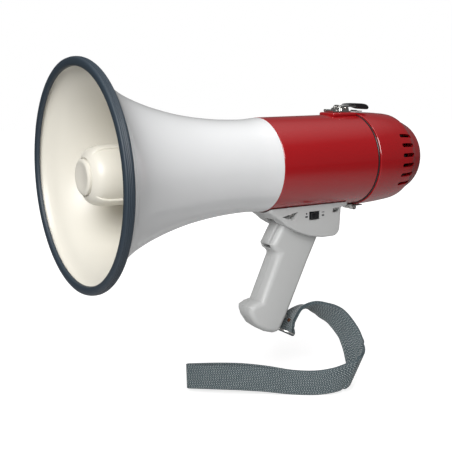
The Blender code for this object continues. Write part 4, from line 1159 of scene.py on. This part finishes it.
def rivet_head(name, start, end):
    """A domed tubular rivet head with a dimple in its middle."""
    only()
    bpy.ops.mesh.primitive_cone_add(vertices=32, radius1=2.2 * MM, radius2=1.7 * MM,
                                    depth=(end - start).length, location=(start + end) / 2,
                                    rotation=(end - start).to_track_quat("Z", "Y").to_euler())
    head = settle(name)
    edit(head)
    shape = bmesh.from_edit_mesh(head.data)
    way = (end - start).normalized()
    for face in shape.faces:
        face.select_set(face.normal.dot(way) > 0.9)
    bmesh.update_edit_mesh(head.data)
    bpy.ops.mesh.inset(thickness=0.7 * MM, depth=0)
    bpy.ops.transform.translate(value=-way * 0.5 * MM)
    close_edit()
    return ease_edges(head, 0.2, 2, 50)


class MEGAPHONE_OT_ring(bpy.types.Operator):
    """Bend the wire ring, and draw the eye plate and its screw on the heel"""
    bl_idname = "megaphone.ring"
    bl_label = "Strap Ring"

    def execute(self, context):
        heel = Vector((216, -175))
        up = Vector((10, 18)).normalized()
        out = Vector((up.y, -up.x))

        def on_heel(rise, stand):
            return tuple(heel + up * rise + out * stand)

        plate = outlined("eye_plate",
                         [on_heel(1.5, 0.3), on_heel(14, 0.3), on_heel(14, 1.6), on_heel(1.5, 1.6)],
                         -5, 5)
        ease_edges(plate, 0.3, 2, 50)
        tab = [on_heel(1.5, 1.2), on_heel(6.2, 1.2), on_heel(6.6, 4.6), on_heel(5.6, 6.6),
               on_heel(3.6, 7.4),
               on_heel(1.6, 6.6), on_heel(0.6, 4.6)]
        combine(plate, outlined("tab", rounded(tab, 0.8, 3), -1.5, 1.5), "UNION")
        combine(plate, crossbar("eye", STRAP_EYE, -4, 4, 1.55, 24))
        finish(plate, "root", "steel", "steel", "strap_lug")
        head, tip = on_heel(10.6, 2.7), on_heel(10.6, 1.9)
        screw = rod("eye_plate_screw", (tip[0], 0, tip[1]), (head[0], 0, head[1]), 2.4, 32, 1.8,
                    bevel=0.2)
        finish(screw, "root", "steel", "steel", "strap_screw")
        reach = Vector(STRAP_BAR) - Vector(STRAP_EYE)
        ahead = reach.normalized()
        bow = [(0.0, 0.0), (0.0, 2.0), (0.7, 5.0), (2.4, 8.6), (5.2, 11.8), (8.6, 13.9), (11.2, 14.6),
               (reach.length - 0.5, 14.3), (reach.length, 13.4), (reach.length, 6.0)]
        half = [(*(Vector(STRAP_EYE) + ahead * far), side) for far, side in bow]
        points = [at(x, side, z) for x, z, side in half]
        points += [at(x, -side, z) for x, z, side in reversed(half[1:])]
        ring = wire("wire_ring", points, 1.0, cyclic=True)
        finish(ring, "strap_ring", "chrome", "chrome", "strap_ring", angle=60)
        return {"FINISHED"}


# Stage

VIEW_MIDDLE = (157.4, 0, -58.6)

def soft_light(name, place, target, size, power):
    only()
    bpy.ops.object.light_add(type="AREA", location=place,
                             rotation=(target - place).to_track_quat("-Z", "Y").to_euler())
    lamp = bpy.context.object
    lamp.name = name
    lamp.data.shape = "RECTANGLE"
    lamp.data.size, lamp.data.size_y = size
    lamp.data.energy = power


class MEGAPHONE_OT_stage(bpy.types.Operator):
    """Set the pale floor, the soft lights and the camera"""
    bl_idname = "megaphone.stage"
    bl_label = "Stage"

    def execute(self, context):
        stage = context.scene.megaphone_stage
        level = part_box("wrist_strap")[0].z - 0.0006
        only()
        bpy.ops.mesh.primitive_plane_add(size=8, location=(0, 0, level))
        floor = settle("pale_floor")
        paper = new_finish("matt_white_floor", (0.62, 0.62, 0.62), 0.9, 0.01, 60, 0.0, 0.0)
        inks = paper.node_tree
        spot = node(inks, "ShaderNodeVectorMath", {0: node(inks, "ShaderNodeTexCoord").outputs["Object"]},
                    operation="LENGTH")
        pale = node(inks, "ShaderNodeMapRange",
                    {"Value": spot.outputs["Value"], "From Min": 0.25, "From Max": 0.9,
                                                 "To Min": 0.6, "To Max": 0.12})
        shader = inks.nodes["Principled BSDF"]
        inks.links.new(pale.outputs[0], shader.inputs["Base Color"])
        lack = maths(inks, "SUBTRACT", 1.25, pale.outputs[0])
        camera_ray = node(inks, "ShaderNodeLightPath").outputs["Is Camera Ray"]
        shown = maths(inks, "MULTIPLY", camera_ray, lack)
        glow = node(inks, "ShaderNodeEmission", {"Color": (1, 1, 1, 1), "Strength": shown})
        both = node(inks, "ShaderNodeAddShader", {0: shader.outputs[0], 1: glow.outputs[0]})
        inks.links.new(both.outputs[0], inks.nodes["Material Output"].inputs[0])
        floor.data.materials.append(paper)
        world = bpy.data.worlds.new("white_surround")
        context.scene.world = world
        world.use_nodes = True
        tree = world.node_tree
        seen = node(tree, "ShaderNodeBackground", {"Color": (1, 1, 1, 1), "Strength": 1.0})
        height = node(tree, "ShaderNodeSeparateXYZ",
                      {0: node(tree, "ShaderNodeTexCoord").outputs["Generated"]})
        rise = node(tree, "ShaderNodeMapRange",
                    {"Value": height.outputs[2], "From Min": 0.6, "From Max": 0.97,
                                                 "To Min": 0.13, "To Max": stage.around})
        felt = tree.nodes["Background"]
        felt.inputs["Color"].default_value = (1, 1, 1, 1)
        tree.links.new(rise.outputs[0], felt.inputs["Strength"])
        way = node(tree, "ShaderNodeLightPath")
        both = node(tree, "ShaderNodeMixShader", {0: way.outputs["Is Camera Ray"], 1: felt.outputs[0],
                                                  2: seen.outputs[0]})
        tree.links.new(both.outputs[0], tree.nodes["World Output"].inputs[0])
        middle = at(*VIEW_MIDDLE)
        soft_light("key_light", middle + Vector((-0.95, -0.95, 0.8)), middle, (0.9, 0.9), stage.key_power)
        soft_light("top_light", middle + Vector((0.1, -0.25, 1.3)), middle, (1.2, 0.4), stage.top_power)
        turn, rise = stage.turn, stage.rise
        back = Vector((sin(turn) * cos(rise), -cos(turn) * cos(rise), sin(rise)))
        only()
        bpy.ops.object.camera_add(location=middle + back * stage.distance,
                                  rotation=back.to_track_quat("Z", "Y").to_euler())
        camera = context.object
        camera.name = "view_camera"
        camera.data.lens = stage.lens
        camera.data.sensor_width = 36
        camera.data.clip_start = 0.01
        context.scene.camera = camera
        context.scene.view_settings.view_transform = "Standard"
        return {"FINISHED"}


class MEGAPHONE_PT_panel(bpy.types.Panel):
    """The megaphone's sizes, colours and build steps"""
    bl_idname = "MEGAPHONE_PT_panel"
    bl_label = "Megaphone"
    bl_space_type = "VIEW_3D"
    bl_region_type = "UI"
    bl_category = "Megaphone"

    def draw(self, context):
        layout = self.layout
        for group in ("megaphone_sizes", "megaphone_colours", "megaphone_stage"):
            settings = getattr(context.scene, group)
            column = layout.column(align=True)
            for name in settings.bl_rna.properties.keys():
                if name not in ("rna_type", "name"):
                    column.prop(settings, name)
        for step in STEPS:
            layout.operator(step.bl_idname)


SETTINGS = [("megaphone_sizes", MegaphoneSizes), ("megaphone_colours", MegaphoneColours),
            ("megaphone_stage", MegaphoneStage)]
STEPS = [MEGAPHONE_OT_finishes, MEGAPHONE_OT_bell, MEGAPHONE_OT_rim_guard, MEGAPHONE_OT_reflector,
         MEGAPHONE_OT_body, MEGAPHONE_OT_rear_cover, MEGAPHONE_OT_handle, MEGAPHONE_OT_trigger,
         MEGAPHONE_OT_switch, MEGAPHONE_OT_screws, MEGAPHONE_OT_latch, MEGAPHONE_OT_hinge,
         MEGAPHONE_OT_strap, MEGAPHONE_OT_ring, MEGAPHONE_OT_stage]


def register():
    for _, kind in SETTINGS:
        bpy.utils.register_class(kind)
    for name, kind in SETTINGS:
        setattr(bpy.types.Scene, name, bpy.props.PointerProperty(type=kind))
    for step in STEPS:
        bpy.utils.register_class(step)
    bpy.utils.register_class(MEGAPHONE_PT_panel)


def unregister():
    bpy.utils.unregister_class(MEGAPHONE_PT_panel)
    for step in reversed(STEPS):
        bpy.utils.unregister_class(step)
    for name, kind in reversed(SETTINGS):
        delattr(bpy.types.Scene, name)
        bpy.utils.unregister_class(kind)


def main():
    register()
    bpy.ops.megaphone.finishes()
    bpy.ops.megaphone.bell()
    bpy.ops.megaphone.rim_guard()
    bpy.ops.megaphone.reflector()
    bpy.ops.megaphone.body()
    bpy.ops.megaphone.rear_cover()
    bpy.ops.megaphone.handle()
    bpy.ops.megaphone.trigger()
    bpy.ops.megaphone.switch()
    bpy.ops.megaphone.screws()
    bpy.ops.megaphone.latch()
    bpy.ops.megaphone.hinge()
    bpy.ops.megaphone.strap()
    bpy.ops.megaphone.ring()
    bpy.ops.megaphone.stage()


if __name__ == "__main__":
    main()
